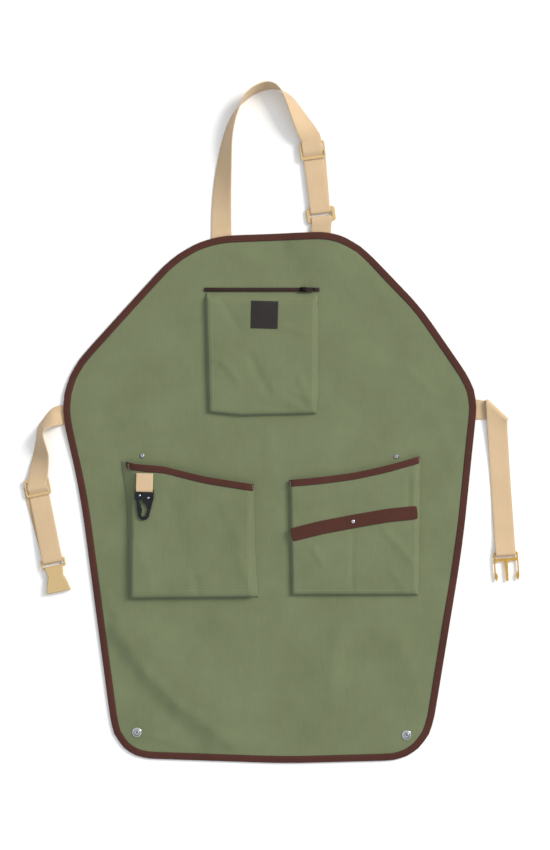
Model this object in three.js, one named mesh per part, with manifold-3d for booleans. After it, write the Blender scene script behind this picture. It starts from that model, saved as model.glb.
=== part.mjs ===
// A gardening apron laid flat: a bound cloth panel, three pockets, webbing straps and their fittings.
// Millimetres, +Z up. X runs across the panel from its middle, Y up from the hem and Z up from the floor.
// At the end the whole is moved so that the middle of its box stands over the origin, on the floor.

import * as THREE from 'three';
import { mergeVertices } from 'three/addons/utils/BufferGeometryUtils.js';
import Module from 'manifold-3d';

// Cloth, tape and webbing
const CLEARANCE = 0.3;
const CLOTH = 1.2;
const TAPE = 1;
const TAPE_GRIP = 10.5;
const TAPE_ROUNDING = 0.6;
const WEB = 1.6;
const WEB_WIDTH = 30;
const WEB_TUCK = 25;

// The panel. A corner's place is a share of the width and the height, its radius a share of the width.
const PANEL_WIDTH = 621;
const PANEL_HEIGHT = 795;
const PANEL_STEPS_ACROSS = 22;
const PANEL_STEPS_UP = 31;
const PANEL_CORNERS = [
  { name: 'hem left', across: -0.373, up: 0.009, radius: 0.097 },
  { name: 'hem middle', across: 0.036, up: -0.002, radius: 2 },
  { name: 'hem right', across: 0.38, up: 0.005, radius: 0.114 },
  { name: 'side right', across: 0.465, up: 0.409, radius: 2.9 },
  { name: 'hip right', across: 0.503, up: 0.7, radius: 0.133 },
  { name: 'shoulder right', across: 0.366, up: 0.856, radius: 0.483 },
  { name: 'top right', across: 0.187, up: 1.002, radius: 0.176 },
  { name: 'top left', across: -0.194, up: 0.99, radius: 0.254 },
  { name: 'hip left', across: -0.518, up: 0.711, radius: 0.198 },
  { name: 'side left', across: -0.459, up: 0.512, radius: 1.93 },
];
const PATCH_CORNERS = ['hem left', 'hem right', 'top right', 'top left'];

// Folds of the panel: crest ends as shares of its width and height, crest height as a share of FOLD_HEIGHT,
// and the flanks on the crest's left and right, looking from its first end, as shares of FOLD_FLANK.
const FOLD_HEIGHT = 7;
const FOLD_FLANK = 36;
const PANEL_FOLDS = [
  { fromAcross: -0.355, fromUp: 0.25, toAcross: -0.13, toUp: 0.052, height: 1, left: 1, right: 0.4 },
  { fromAcross: -0.423, fromUp: 0.502, toAcross: -0.36, toUp: 0.37, height: 0.4, left: 0.4, right: 0.4 },
  { fromAcross: -0.314, fromUp: 0.685, toAcross: -0.256, toUp: 0.621, height: 0.3, left: 0.6, right: 0.5 },
  { fromAcross: 0.232, fromUp: 0.3, toAcross: 0.3, toUp: 0.232, height: 0.45, left: 0.6, right: 0.5 },
  { fromAcross: 0.164, fromUp: 0.272, toAcross: 0.123, toUp: 0.096, height: 0.4, left: 0.9, right: 0.6 },
  { fromAcross: 0.14, fromUp: 0.8, toAcross: 0.14, toUp: 0.685, height: 0.35, left: 0.6, right: 0.6 },
  { fromAcross: 0.15, fromUp: 0.93, toAcross: 0.25, toUp: 0.915, height: 0.3, left: 0.5, right: 0.6 },
  { fromAcross: 0.375, fromUp: 0.56, toAcross: 0.415, toUp: 0.49, height: 0.35, left: 0.5, right: 0.5 },
];
const FOLD_FADE = 30;

// Pockets. `across` is the left end of the mouth from the panel's middle and `up` the foot above the hem,
// both taken from the panel's own size.
// Their tables hold shares of the pocket's own width and height: the side walls from the foot, 0, to the
// mouth, 1, and the lines of the mouth and the foot from the left end, 0, to the right, 1.
const LEFT_POCKET = {
  width: 202,
  height: 207,
  depth: 11,
  footRun: 3,
  across: -0.36 * PANEL_WIDTH,
  up: 0.3075 * PANEL_HEIGHT,
  columns: 8,
  rows: 7,
  sides: [
    { rise: 0, leftFoot: 0.065, leftFold: 0.085, rightFold: 0.972, rightFoot: 1.02 },
    { rise: 0.4, leftFoot: 0.057, leftFold: 0.085, rightFold: 0.96, rightFoot: 1 },
    { rise: 0.72, leftFoot: 0.041, leftFold: 0.092, rightFold: 0.96, rightFoot: 0.993 },
    { rise: 0.91, leftFoot: 0.008, leftFold: 0.112, rightFold: 0.964, rightFoot: 0.994 },
    { rise: 1, leftFoot: 0, leftFold: 0.104, rightFold: 0.966, rightFoot: 0.996 },
  ],
  mouth: [
    { across: 0, up: 1 },
    { across: 0.107, up: 0.973 },
    { across: 0.33, up: 0.957 },
    { across: 0.475, up: 0.917 },
    { across: 0.64, up: 0.88 },
    { across: 1, up: 0.824 },
  ],
  foot: [
    { across: 0, up: 0 },
    { across: 1, up: 0.012 },
  ],
};
const RIGHT_POCKET = {
  width: 198,
  height: 208,
  depth: 8,
  footRun: 3,
  across: 0.045 * PANEL_WIDTH,
  up: 0.3145 * PANEL_HEIGHT,
  columns: 10,
  rows: 7,
  sides: [
    { rise: 0, leftFoot: 0.016, leftFold: 0.037, rightFold: 0.962, rightFoot: 0.985 },
    { rise: 1, leftFoot: 0, leftFold: 0.02, rightFold: 0.972, rightFoot: 1 },
  ],
  mouth: [
    { across: 0, up: 0.827 },
    { across: 0.25, up: 0.848 },
    { across: 0.5, up: 0.88 },
    { across: 0.75, up: 0.932 },
    { across: 1, up: 1 },
  ],
  foot: [
    { across: 0, up: 0 },
    { across: 1, up: 0 },
  ],
};
const CHEST_POCKET = {
  width: 172.5,
  height: 187,
  depth: 8,
  footRun: 4,
  topRun: 11,
  across: -0.1586 * PANEL_WIDTH,
  up: 0.6516 * PANEL_HEIGHT,
  columns: 7,
  rows: 7,
  sides: [
    { rise: 0, leftFoot: 0.03, leftFold: 0.055, rightFold: 0.955, rightFoot: 0.99 },
    { rise: 1, leftFoot: 0, leftFold: 0.027, rightFold: 0.955, rightFoot: 0.995 },
  ],
  mouth: [
    { across: 0, up: 1 },
    { across: 1, up: 0.992 },
  ],
  foot: [
    { across: 0, up: 0.03 },
    { across: 0.3, up: 0 },
    { across: 1, up: 0.016 },
  ],
};
const MOUTH_TAPE_START = 0.35;

// Tool band and its rivet, placed by shares of the right pocket's height and width
const BAND_WIDTH = 20;
const BAND_THICK = 1.2;
const BAND_LINE = [
  { across: 0.02, up: 0.437 },
  { across: 0.25, up: 0.492 },
  { across: 0.5, up: 0.537 },
  { across: 0.75, up: 0.578 },
  { across: 0.972, up: 0.6 },
];
const RIVET_ACROSS = 0.487;
const RIVET_RADIUS = 3;
const RIVET_HEIGHT = 1.4;

// Label on the chest pocket, its place shared out over that pocket
const LABEL_WIDTH = 40;
const LABEL_HEIGHT = 41;
const LABEL_THICK = 0.8;
const LABEL_ACROSS = 0.524;
const LABEL_UP = 0.815;
const LABEL_TURN = THREE.MathUtils.degToRad(-1.5);

// Zip along the chest pocket's top, its slider and the tag that swings on it
const ZIP_WIDTH = 6;
const ZIP_TAPE = 1.2;
const ZIP_TEETH_WIDTH = 3;
const ZIP_TEETH = 1;
const SLIDER_BODY = { length: 9, width: 7, thick: 2.4 };
const SLIDER_ACROSS = 0.86;
const EAR = { length: 3.4, thick: 1 };
const PULL = { length: 19, width: 6, thick: 1.2, barrel: 1.7, tongue: 2.2, eye: 1.6 };
const PULL_PIN = 0.6;
const PULL_REST = THREE.MathUtils.degToRad(11.5);
const ROUND_SIDES = 12;

// Clip on the left pocket: a webbing tab, a frame with two pins and a sprung gate
const TAB_WIDTH = 25;
const TAB_WEB = 1.2;
const TAB_LENGTH = 29;
const TAB_ACROSS = 0.178;
const CLIP_LEAN = THREE.MathUtils.degToRad(-1.5);
const CLIP_BAR = { width: 2.6, thick: 2 };
const CLIP_BEVEL = 0.5;
const CLIP_LINK = 1.4;
const CLIP_SLOT = 2.8;
const CLIP_HEAD = { length: 10, thick: 4.4 };
const CLIP_HOOK = { reach: 32, radius: 8.5, thick: 2.6, wall: 4, mouth: 17 };
const GATE = { thick: 2, eye: 3.4, pin: 1.5, tongue: 3.4 };
const GATE_PIN_ACROSS = -9.6;

// Studs above the pockets and press studs in the hem, placed by shares of the panel's width and height
const STUDS = [
  { name: 'left_stud', across: -0.308, up: 0.578, radius: 3.6, height: 2 },
  { name: 'right_stud', across: 0.3055, up: 0.577, radius: 4, height: 2 },
  { name: 'left_snap', across: -0.3213, up: 0.0566, radius: 7, height: 3 },
  { name: 'right_snap', across: 0.3295, up: 0.0513, radius: 7, height: 3 },
];
const STUD_STEM = 0.45;

// Three-bar sliders of the neck strap and the left waist strap
const SLIDER_WIDTH = 38;
const SLIDER_BAR = 4.6;
const SLIDER_SLOT = 6.6;
const SLIDER_THICK = 2.6;
const SLIDER_BEVEL = 0.5;
const SLOT_EASE = 0.4;
const STRAP_PLAY = 1;

// Neck strap. Rows run from the left end over the top: across as a share of the spread between the strap's
// two ends, up as a share of the rise, roll in degrees, the inner edge lifting, and raise as a share of the
// webbing's width.
const NECK_SPREAD = 149;
const NECK_RISE = 225;
const NECK_MIDDLE = 1.7;
const NECK_ROWS = [
  { across: 0, up: -0.05, roll: 0, raise: 0 },
  { across: 0, up: 0.03, roll: 0, raise: 0 },
  { across: 0, up: 0.16, roll: 12, raise: 0 },
  { across: 0.01, up: 0.32, roll: 27, raise: 0 },
  { across: 0.03, up: 0.48, roll: 42, raise: 0 },
  { across: 0.06, up: 0.64, roll: 60, raise: 0 },
  { across: 0.106, up: 0.76, roll: 71, raise: 0 },
  { across: 0.161, up: 0.84, roll: 81, raise: 0 },
  { across: 0.242, up: 0.92, roll: 97, raise: 0 },
  { across: 0.327, up: 0.967, roll: 104, raise: 0 },
  { across: 0.448, up: 0.999, roll: 107, raise: 0 },
  { across: 0.529, up: 0.996, roll: 100, raise: 0.02 },
  { across: 0.599, up: 0.97, roll: 86, raise: 0.04 },
  { across: 0.67, up: 0.92, roll: 67, raise: 0.08 },
  { across: 0.715, up: 0.873, roll: 57, raise: 0.12 },
  { across: 0.77, up: 0.8, roll: 46, raise: 0.18 },
  { across: 0.811, up: 0.73, roll: 30, raise: 0.24 },
];
const NECK_LEAN = THREE.MathUtils.degToRad(7.5);
const NECK_DOUBLED = 97;
const NECK_SLIDER_LIFT = 8;
const NECK_SWAY = 3.5;
const RING = { width: 43.5, length: 22, bar: 7.5, thick: 3.5, bevel: 1, rise: 26, shift: 3 };

// Left waist strap, from the hip: out as a share of the reach, down as a share of the drop to the slider
const LEFT_HIP_UP = 0.6545;
const LEFT_REACH = 38.5;
const LEFT_DROP = 108;
const LEFT_ROWS = [
  { out: -0.3, down: 0, roll: 0 },
  { out: 0.12, down: 0, roll: 0 },
  { out: 0.4, down: 0.05, roll: 38 },
  { out: 0.641, down: 0.117, roll: 58 },
  { out: 0.82, down: 0.175, roll: 66 },
  { out: 0.885, down: 0.265, roll: 68 },
  { out: 0.87, down: 0.366, roll: 60 },
  { out: 0.86, down: 0.462, roll: 48 },
  { out: 0.855, down: 0.541, roll: 37 },
  { out: 0.87, down: 0.657, roll: 24 },
  { out: 0.9, down: 0.76, roll: 12 },
];
const LEFT_LEAN = THREE.MathUtils.degToRad(11.6);
const LEFT_DOUBLED = 112;
const LEFT_SWAY = -6;
const WAIST_SLIDER_TURN = THREE.MathUtils.degToRad(7.4);
const SOCKET = {
  width: 37, bar: 4, thick: 9, bevel: 1.1, barThick: 4, slot: 6, length: 40, waist: 22, waistAt: 0.38,
  wall: 1.8, mouth: 32, depth: 27, frame: 3, neck: 27,
};

// Right waist strap: it folds over itself just off the hip and runs down to the plug
const RIGHT_HIP_UP = 0.666;
const RIGHT_REACH = 32;
const RIGHT_LEAN = THREE.MathUtils.degToRad(3.8);
const RIGHT_DROP = 214;
const RIGHT_FOLD_RADIUS = 4;
const RIGHT_RETURN = 45;
const PLUG = {
  width: 37, bar: 4, barThick: 4, bevel: 1.1, slot: 5, bridge: 4.5, reach: 29, arm: 2, lobe: 5.2,
  lobeLength: 14, blade: 5, frame: 2.5,
};

const LEVEL = TAPE + CLEARANCE + CLOTH;
const UP = new THREE.Vector3(0, 0, 1);

const wasm = await Module();
wasm.setup();

const apron = new THREE.Group();

const finishes = {
  green: new THREE.MeshStandardMaterial({ color: 0x76805f, roughness: 0.9 }),
  brown: new THREE.MeshStandardMaterial({ color: 0x5a3029, roughness: 0.85 }),
  webbing: new THREE.MeshStandardMaterial({ color: 0xd6ba94, roughness: 0.85 }),
  zip: new THREE.MeshStandardMaterial({ color: 0x3a2826, roughness: 0.6 }),
  label: new THREE.MeshStandardMaterial({ color: 0x35312f, roughness: 0.9 }),
  moulded: new THREE.MeshStandardMaterial({ color: 0xd6be8c, roughness: 0.45 }),
  gilt: new THREE.MeshStandardMaterial({ color: 0xd9a94f, roughness: 0.2, metalness: 1 }),
  steel: new THREE.MeshStandardMaterial({ color: 0xc4c6c8, roughness: 0.25, metalness: 1 }),
  black: new THREE.MeshStandardMaterial({ color: 0x23242a, roughness: 0.35, metalness: 0.7 }),
};

function add(name, geometry, finish, parent = apron) {
  const mesh = new THREE.Mesh(geometry, finishes[finish]);
  mesh.name = name;
  parent.add(mesh);
  return mesh;
}

// Solids from points and faces

function volumeOf(points, faces) {
  const across = new THREE.Vector3();
  return faces.reduce((sum, [a, b, c]) => sum + across.crossVectors(points[b], points[c]).dot(points[a]) / 6, 0);
}

function solidFrom(points, faces) {
  const outward = volumeOf(points, faces) > 0 ? faces : faces.map(([a, b, c]) => [a, c, b]);
  const geometry = new THREE.BufferGeometry();
  geometry.setAttribute('position', new THREE.Float32BufferAttribute(points.flatMap((p) => p.toArray()), 3));
  geometry.setIndex(outward.flat());
  return geometry;
}

// A section of [inward, up] pairs carried through frames, closed on itself or capped at both ends.
function loft(section, frames, closed = false) {
  const points = frames.flatMap((frame) => section.map(([inward, up]) => frame.origin.clone()
    .addScaledVector(frame.inward, inward).addScaledVector(frame.up, up)));
  const size = section.length;
  const faces = [];
  const spans = closed ? frames.length : frames.length - 1;
  for (let i = 0; i < spans; i++) {
    const here = i * size;
    const there = ((i + 1) % frames.length) * size;
    for (let k = 0; k < size; k++) {
      const next = (k + 1) % size;
      faces.push([here + k, here + next, there + next], [here + k, there + next, there + k]);
    }
  }
  if (!closed) {
    const flat = section.map(([x, y]) => new THREE.Vector2(x, y));
    const last = (frames.length - 1) * size;
    for (const face of THREE.ShapeUtils.triangulateShape(flat, [])) {
      const [a, b, c] = face;
      const turn = flat[b].clone().sub(flat[a]).cross(flat[c].clone().sub(flat[a]));
      const [p, q, r] = turn > 0 ? [a, b, c] : [a, c, b];
      faces.push([r, q, p], [last + p, last + q, last + r]);
    }
  }
  return solidFrom(points, faces);
}

// Two layers of the same faces, joined all round their rim. Faces and rim run anticlockwise from above.
function doubleLayer(upper, lower, faces, rim) {
  const below = upper.length;
  const all = faces.flatMap(([a, b, c]) => [[a, b, c], [below + c, below + b, below + a]]);
  rim.forEach((a, k) => {
    const b = rim[(k + 1) % rim.length];
    all.push([below + a, below + b, b], [below + a, b, a]);
  });
  return solidFrom([...upper, ...lower], all);
}

function gridFaces(across, up) {
  const faces = [];
  for (let j = 0; j < up; j++) {
    for (let i = 0; i < across; i++) {
      const a = j * (across + 1) + i;
      const d = a + across + 1;
      faces.push([a, a + 1, d + 1], [a, d + 1, d]);
    }
  }
  return faces;
}

// The grid's outermost points in order: along the foot, up the right, back along the top, down the left.
function gridRim(across, up) {
  const at = (i, j) => j * (across + 1) + i;
  const rim = [];
  for (let i = 0; i < across; i++) rim.push(at(i, 0));
  for (let j = 0; j < up; j++) rim.push(at(across, j));
  for (let i = across; i > 0; i--) rim.push(at(i, up));
  for (let j = up; j > 0; j--) rim.push(at(0, j));
  return rim;
}

// Cuts and joins of closed pieces

function manifoldOf(geometry) {
  const bare = geometry.clone();
  bare.deleteAttribute('normal');
  bare.deleteAttribute('uv');
  const merged = mergeVertices(bare, 1e-4);
  return new wasm.Manifold(new wasm.Mesh({
    numProp: 3,
    vertProperties: new Float32Array(merged.attributes.position.array),
    triVerts: new Uint32Array(merged.index.array),
  }));
}

function geometryOf(manifold) {
  const mesh = manifold.getMesh();
  const geometry = new THREE.BufferGeometry();
  geometry.setAttribute('position', new THREE.Float32BufferAttribute(mesh.vertProperties, 3));
  geometry.setIndex([...mesh.triVerts]);
  return geometry;
}

function join(first, ...others) {
  return geometryOf(others.reduce((whole, other) => whole.add(manifoldOf(other)), manifoldOf(first)));
}

function cut(first, ...others) {
  return geometryOf(others.reduce((whole, other) => whole.subtract(manifoldOf(other)), manifoldOf(first)));
}

function block(low, high) {
  const size = high.clone().sub(low);
  return new THREE.BoxGeometry(size.x, size.y, size.z).translate(
    (low.x + high.x) / 2, (low.y + high.y) / 2, (low.z + high.z) / 2);
}

// A flat outline given a thickness about z = 0, with a chamfer round both faces.
function plate(shape, thick, bevel = 0, curveSegments = 2) {
  const options = { depth: thick - 2 * bevel, bevelEnabled: bevel > 0, curveSegments };
  Object.assign(options, { bevelThickness: bevel, bevelSize: bevel, bevelOffset: -bevel, bevelSegments: 1 });
  return new THREE.ExtrudeGeometry(shape, options).translate(0, 0, bevel - thick / 2);
}

function roundedRectangle(width, height, radius, middle = 0) {
  const shape = new THREE.Shape();
  const [x, y] = [width / 2 - radius, height / 2 - radius];
  shape.absarc(x, middle + y, radius, 0, Math.PI / 2);
  shape.absarc(-x, middle + y, radius, Math.PI / 2, Math.PI);
  shape.absarc(-x, middle - y, radius, Math.PI, 1.5 * Math.PI);
  shape.absarc(x, middle - y, radius, 1.5 * Math.PI, 2 * Math.PI);
  return shape.closePath();
}

function polygon(pairs, Kind = THREE.Shape) {
  return new Kind(pairs.map(([x, y]) => new THREE.Vector2(x, y)));
}

function slotHole(width, height, middle = 0) {
  const [x, y] = [width / 2, height / 2];
  return polygon([[-x, middle - y], [x, middle - y], [x, middle + y], [-x, middle + y]], THREE.Path);
}

// Round bars along Y and along Z
function crossPin(radius, length) {
  return new THREE.CylinderGeometry(radius, radius, length, ROUND_SIDES);
}

function rod(radius, length) {
  return crossPin(radius, length).rotateX(Math.PI / 2);
}

// Tables read between their rows
function between(rows, key, value, column) {
  const after = rows.findIndex((row) => row[key] >= value);
  if (after <= 0) return rows.at(after === 0 ? 0 : -1)[column];
  const [low, high] = [rows[after - 1], rows[after]];
  return THREE.MathUtils.mapLinear(value, low[key], high[key], low[column], high[column]);
}

// The panel's outer edge: straight runs between corners rounded by arcs

const corners = PANEL_CORNERS.map((corner) => ({
  name: corner.name,
  point: new THREE.Vector2(corner.across * PANEL_WIDTH, corner.up * PANEL_HEIGHT),
  radius: corner.radius * PANEL_WIDTH,
}));

function outlinePath() {
  const path = new THREE.Path();
  corners.forEach((corner, i) => {
    const into = corner.point.clone().sub(corners.at(i - 1).point).normalize();
    const away = corners[(i + 1) % corners.length].point.clone().sub(corner.point).normalize();
    const turn = Math.atan2(into.cross(away), into.dot(away));
    const side = Math.sign(turn);
    const start = corner.point.clone().addScaledVector(into, -corner.radius * Math.tan(Math.abs(turn) / 2));
    const centre = start.clone().add(new THREE.Vector2(-into.y, into.x).multiplyScalar(side * corner.radius));
    const angle = start.clone().sub(centre).angle();
    path.absarc(centre.x, centre.y, corner.radius, angle, angle + turn, side < 0);
  });
  return path.closePath();
}

const outline = outlinePath();
const outlineLength = outline.getLength();

// The path holds an arc for each corner with a straight run after it.
function cornerMiddle(name) {
  const arc = 2 * corners.findIndex((corner) => corner.name === name);
  return outline.getCurveLengths()[arc] - outline.curves[arc].getLength() / 2;
}

function stationAt(length) {
  const share = (((length / outlineLength) % 1) + 1) % 1;
  const nudge = 1e-4;
  const point = outline.getPoint(share);
  const ahead = outline.getPoint((share + nudge) % 1).sub(outline.getPoint((share - nudge + 1) % 1)).normalize();
  return { point, inward: new THREE.Vector2(-ahead.y, ahead.x) };
}

function edgeStations() {
  const ends = PATCH_CORNERS.map(cornerMiddle);
  const steps = [PANEL_STEPS_ACROSS, PANEL_STEPS_UP, PANEL_STEPS_ACROSS, PANEL_STEPS_UP];
  return steps.flatMap((count, side) => {
    const from = ends[side];
    const to = side < 3 ? ends[side + 1] : ends[0] + outlineLength;
    return Array.from({ length: count }, (_, k) => stationAt(THREE.MathUtils.lerp(from, to, k / count)));
  });
}

const stations = edgeStations();
const stationGap = outlineLength / stations.length;

// Where the outer edge crosses a line, from its own points: the highest over x, or the end of a row at y
const edgePoints = outline.getSpacedPoints(800);

function crossings(key, value, other) {
  const found = [];
  edgePoints.forEach((point, i) => {
    const next = edgePoints[(i + 1) % edgePoints.length];
    if ((point[key] - value) * (next[key] - value) < 0) {
      found.push(THREE.MathUtils.mapLinear(value, point[key], next[key], point[other], next[other]));
    }
  });
  return found;
}

const topEdgeAt = (x) => Math.max(...crossings('x', x, 'y'));
const leftEdgeAt = (y) => Math.min(...crossings('y', y, 'x'));
const rightEdgeAt = (y) => Math.max(...crossings('y', y, 'x'));

// Webbing is sewn under the edge in four places, and the panel lies higher over it

const neckLeft = new THREE.Vector2(NECK_MIDDLE - NECK_SPREAD / 2, 0);
neckLeft.y = topEdgeAt(neckLeft.x);
const neckRight = new THREE.Vector2(NECK_MIDDLE + NECK_SPREAD / 2, 0);
neckRight.y = topEdgeAt(neckRight.x);
const hipLeft = new THREE.Vector2(0, LEFT_HIP_UP * PANEL_HEIGHT);
hipLeft.x = leftEdgeAt(hipLeft.y);
const hipRight = new THREE.Vector2(0, RIGHT_HIP_UP * PANEL_HEIGHT);
hipRight.x = rightEdgeAt(hipRight.y);

const underlays = [
  { point: neckLeft, layers: 1 },
  { point: neckRight, layers: 2 },
  { point: hipLeft, layers: 1 },
  { point: hipRight, layers: 1 },
];

function liftAt(x, y) {
  const level = WEB_WIDTH / 2 + stationGap;
  const lifts = underlays.map(({ point, layers }) => {
    const away = Math.hypot(x - point.x, y - point.y);
    return layers * (WEB + CLEARANCE) * (1 - THREE.MathUtils.smoothstep(away, level, level + WEB_TUCK));
  });
  return Math.max(...lifts);
}

// A fold's height at a point: a round-topped ridge that runs out past its ends
function ridge(fold, x, y, width, height, flank) {
  const from = new THREE.Vector2(fold.fromAcross * width, fold.fromUp * height);
  const line = new THREE.Vector2(fold.toAcross * width, fold.toUp * height).sub(from);
  const length = line.length();
  const along = line.clone().divideScalar(length);
  const here = new THREE.Vector2(x, y).sub(from);
  const past = here.dot(along) - THREE.MathUtils.clamp(here.dot(along), 0, length);
  const aside = along.cross(here);
  const reach = flank * (aside > 0 ? fold.left : fold.right);
  return fold.height * Math.exp(-((aside / reach) ** 2) - (past / flank) ** 2);
}

// The pockets hold the panel flat under them
function pocketMask(x, y) {
  return [LEFT_POCKET, RIGHT_POCKET, CHEST_POCKET].reduce((share, pocket) => {
    const aside = Math.max(pocket.across - x, x - pocket.across - pocket.width, 0);
    const above = Math.max(pocket.up - y, y - pocket.up - pocket.height, 0);
    return share * THREE.MathUtils.smoothstep(Math.hypot(aside, above), stationGap, stationGap + FOLD_FADE);
  }, 1);
}

function foldsAt(x, y) {
  const highest = PANEL_FOLDS.map((fold) => ridge(fold, x, y, PANEL_WIDTH, PANEL_HEIGHT, FOLD_FLANK));
  return FOLD_HEIGHT * Math.max(...highest) * pocketMask(x, y);
}

// The panel: a patch spanned by the four sides of its edge, with a flat strip round it that the tape grips

function panelLayers() {
  const across = PANEL_STEPS_ACROSS;
  const up = PANEL_STEPS_UP;
  const count = stations.length;
  const strip = stations.map(({ point, inward }) => ({
    inner: point.clone().addScaledVector(inward, TAPE_GRIP + TAPE),
    outer: point.clone().addScaledVector(inward, TAPE + CLEARANCE),
    height: LEVEL + liftAt(point.x, point.y),
  }));
  const inner = (k) => strip[k % count].inner;
  const upper = [];
  const rim = gridRim(across, up);
  for (let j = 0; j <= up; j++) {
    for (let i = 0; i <= across; i++) {
      const [u, v] = [i / across, j / up];
      const sides = [
        [inner(i), 1 - v], [inner(across + up + across - i), v],
        [inner(count - j), 1 - u], [inner(across + j), u],
        [inner(0), -(1 - u) * (1 - v)], [inner(across), -u * (1 - v)],
        [inner(2 * across + up), -(1 - u) * v], [inner(across + up), -u * v],
      ];
      const flat = sides.reduce((sum, [point, weight]) => sum.addScaledVector(point, weight), new THREE.Vector2());
      const onRim = rim.indexOf(upper.length);
      const height = onRim < 0 ? LEVEL + liftAt(flat.x, flat.y) + foldsAt(flat.x, flat.y) : strip[onRim].height;
      upper.push(new THREE.Vector3(flat.x, flat.y, height));
    }
  }
  const faces = gridFaces(across, up);
  const first = upper.length;
  strip.forEach(({ outer, height }) => upper.push(new THREE.Vector3(outer.x, outer.y, height)));
  rim.forEach((a, k) => {
    const next = (k + 1) % count;
    faces.push([first + k, first + next, rim[next]], [first + k, rim[next], a]);
  });
  return { upper, faces, rim: strip.map((_, k) => first + k) };
}

const panel = panelLayers();

function lowered(points, drop) {
  return points.map((point) => point.clone().addScaledVector(UP, -drop));
}

add('apron_panel', doubleLayer(panel.upper, lowered(panel.upper, CLOTH), panel.faces, panel.rim), 'green');

// The panel's upper face under a small piece: the highest of its facets within a radius
function panelTopAt(x, y, radius) {
  const places = [0, 1, 2, 3, 4, 5, 6, 7].map((k) => [
    x + radius * Math.cos(k * Math.PI / 4), y + radius * Math.sin(k * Math.PI / 4)]);
  const heights = [[x, y], ...places].map(([px, py]) => {
    const below = new THREE.Raycaster(new THREE.Vector3(px, py, PANEL_WIDTH), UP.clone().negate());
    const triangle = new THREE.Triangle();
    const hit = new THREE.Vector3();
    const face = panel.faces.find(([a, b, c]) => {
      triangle.set(panel.upper[a], panel.upper[b], panel.upper[c]);
      return below.ray.intersectTriangle(triangle.a, triangle.b, triangle.c, false, hit) !== null;
    });
    return face ? hit.z : LEVEL;
  });
  return Math.max(...heights);
}

// Tape folded over an edge: its section, with the outside of the fold at zero
function tapeSection() {
  const inside = CLOTH / 2 + CLEARANCE;
  const outside = inside + TAPE;
  return [
    [TAPE_GRIP, -inside], [TAPE, -inside], [TAPE, inside], [TAPE_GRIP, inside],
    [TAPE_GRIP, outside], [TAPE_ROUNDING, outside], [0, outside - TAPE_ROUNDING],
    [0, TAPE_ROUNDING - outside], [TAPE_ROUNDING, -outside], [TAPE_GRIP, -outside],
  ];
}

add('edge_binding', loft(tapeSection(), stations.map(({ point, inward }) => ({
  origin: new THREE.Vector3(point.x, point.y, LEVEL - CLOTH / 2 + liftAt(point.x, point.y)),
  inward: new THREE.Vector3(inward.x, inward.y, 0),
  up: UP,
})), true), 'brown');

// A pocket: a cloth front with gusset walls down both sides and along its foot, open at the mouth or, with a
// topRun, closed there too. Its points are [row][column], outside and inside.
function pocketGrid(pocket) {
  const floor = LEVEL + CLEARANCE;
  const shortest = pocket.height * Math.min(...pocket.mouth.map((row) => row.up));
  const lowFold = pocket.footRun / shortest;
  const topRun = pocket.topRun ?? TAPE_GRIP + 2 * TAPE;
  const highFold = 1 - topRun / shortest;
  const rises = [0];
  for (let j = 0; j <= pocket.rows; j++) rises.push(THREE.MathUtils.lerp(lowFold, highFold, j / pocket.rows));
  rises.push(1);
  const inset = (run, rise) => {
    const angle = Math.atan2(rise, run);
    return { foot: CLOTH / Math.sin(angle), fold: CLOTH * Math.tan(angle / 2) };
  };
  const last = pocket.columns + 2;
  const side = (rise, column) => between(pocket.sides, 'rise', rise, column);
  const line = (table, share) => between(table, 'across', share, 'up');
  const closed = pocket.topRun !== undefined;
  const layers = [0, 1].map((inside) => rises.map((rise, j) => {
    const shares = [side(rise, 'leftFoot')];
    for (let i = 0; i <= pocket.columns; i++) {
      shares.push(THREE.MathUtils.lerp(side(rise, 'leftFold'), side(rise, 'rightFold'), i / pocket.columns));
    }
    shares.push(side(rise, 'rightFoot'));
    const left = inset((shares[1] - shares[0]) * pocket.width, pocket.depth);
    const right = inset((shares[last] - shares[last - 1]) * pocket.width, pocket.depth);
    const bottom = inset(pocket.footRun, pocket.depth);
    const top = inset(topRun, pocket.depth);
    return shares.map((share, i) => {
      const [foot, mouth] = [line(pocket.foot, share), line(pocket.mouth, share)];
      const x = pocket.across + share * pocket.width;
      const y = pocket.up + THREE.MathUtils.lerp(foot, mouth, rise) * pocket.height;
      const onFloor = i === 0 || i === last || j === 0 || (closed && j === rises.length - 1);
      const point = new THREE.Vector3(x, y, onFloor ? floor : floor + pocket.depth);
      if (inside) {
        if (i === 0) point.x += left.foot;
        if (i === 1) point.x += left.fold;
        if (i === last) point.x -= right.foot;
        if (i === last - 1) point.x -= right.fold;
        if (j === 0) point.y += bottom.foot;
        if (j === 1) point.y += bottom.fold;
        if (closed && j === rises.length - 1) point.y -= top.foot;
        if (closed && j === rises.length - 2) point.y -= top.fold;
        if (!onFloor) point.z -= CLOTH;
      }
      return point;
    });
  }));
  return { outside: layers[0], inside: layers[1], columns: last, rows: rises.length - 1 };
}

function pocketSolid(grid) {
  return doubleLayer(grid.outside.flat(), grid.inside.flat(), gridFaces(grid.columns, grid.rows),
    gridRim(grid.columns, grid.rows));
}

// Frames along a line of points whose normals are mitred, so that what is lofted keeps its thickness
function mitred(origins, inwards) {
  const runs = origins.slice(1).map((point, i) => point.clone().sub(origins[i]).normalize());
  return origins.map((origin, i) => {
    const inward = inwards[i];
    const [before, after] = [runs[Math.max(i - 1, 0)], runs[Math.min(i, runs.length - 1)]];
    const [first, second] = [before, after].map((run) => run.clone().cross(inward).normalize());
    const up = first.clone().add(second).divideScalar(1 + first.dot(second));
    return { origin, inward, up };
  });
}

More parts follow.
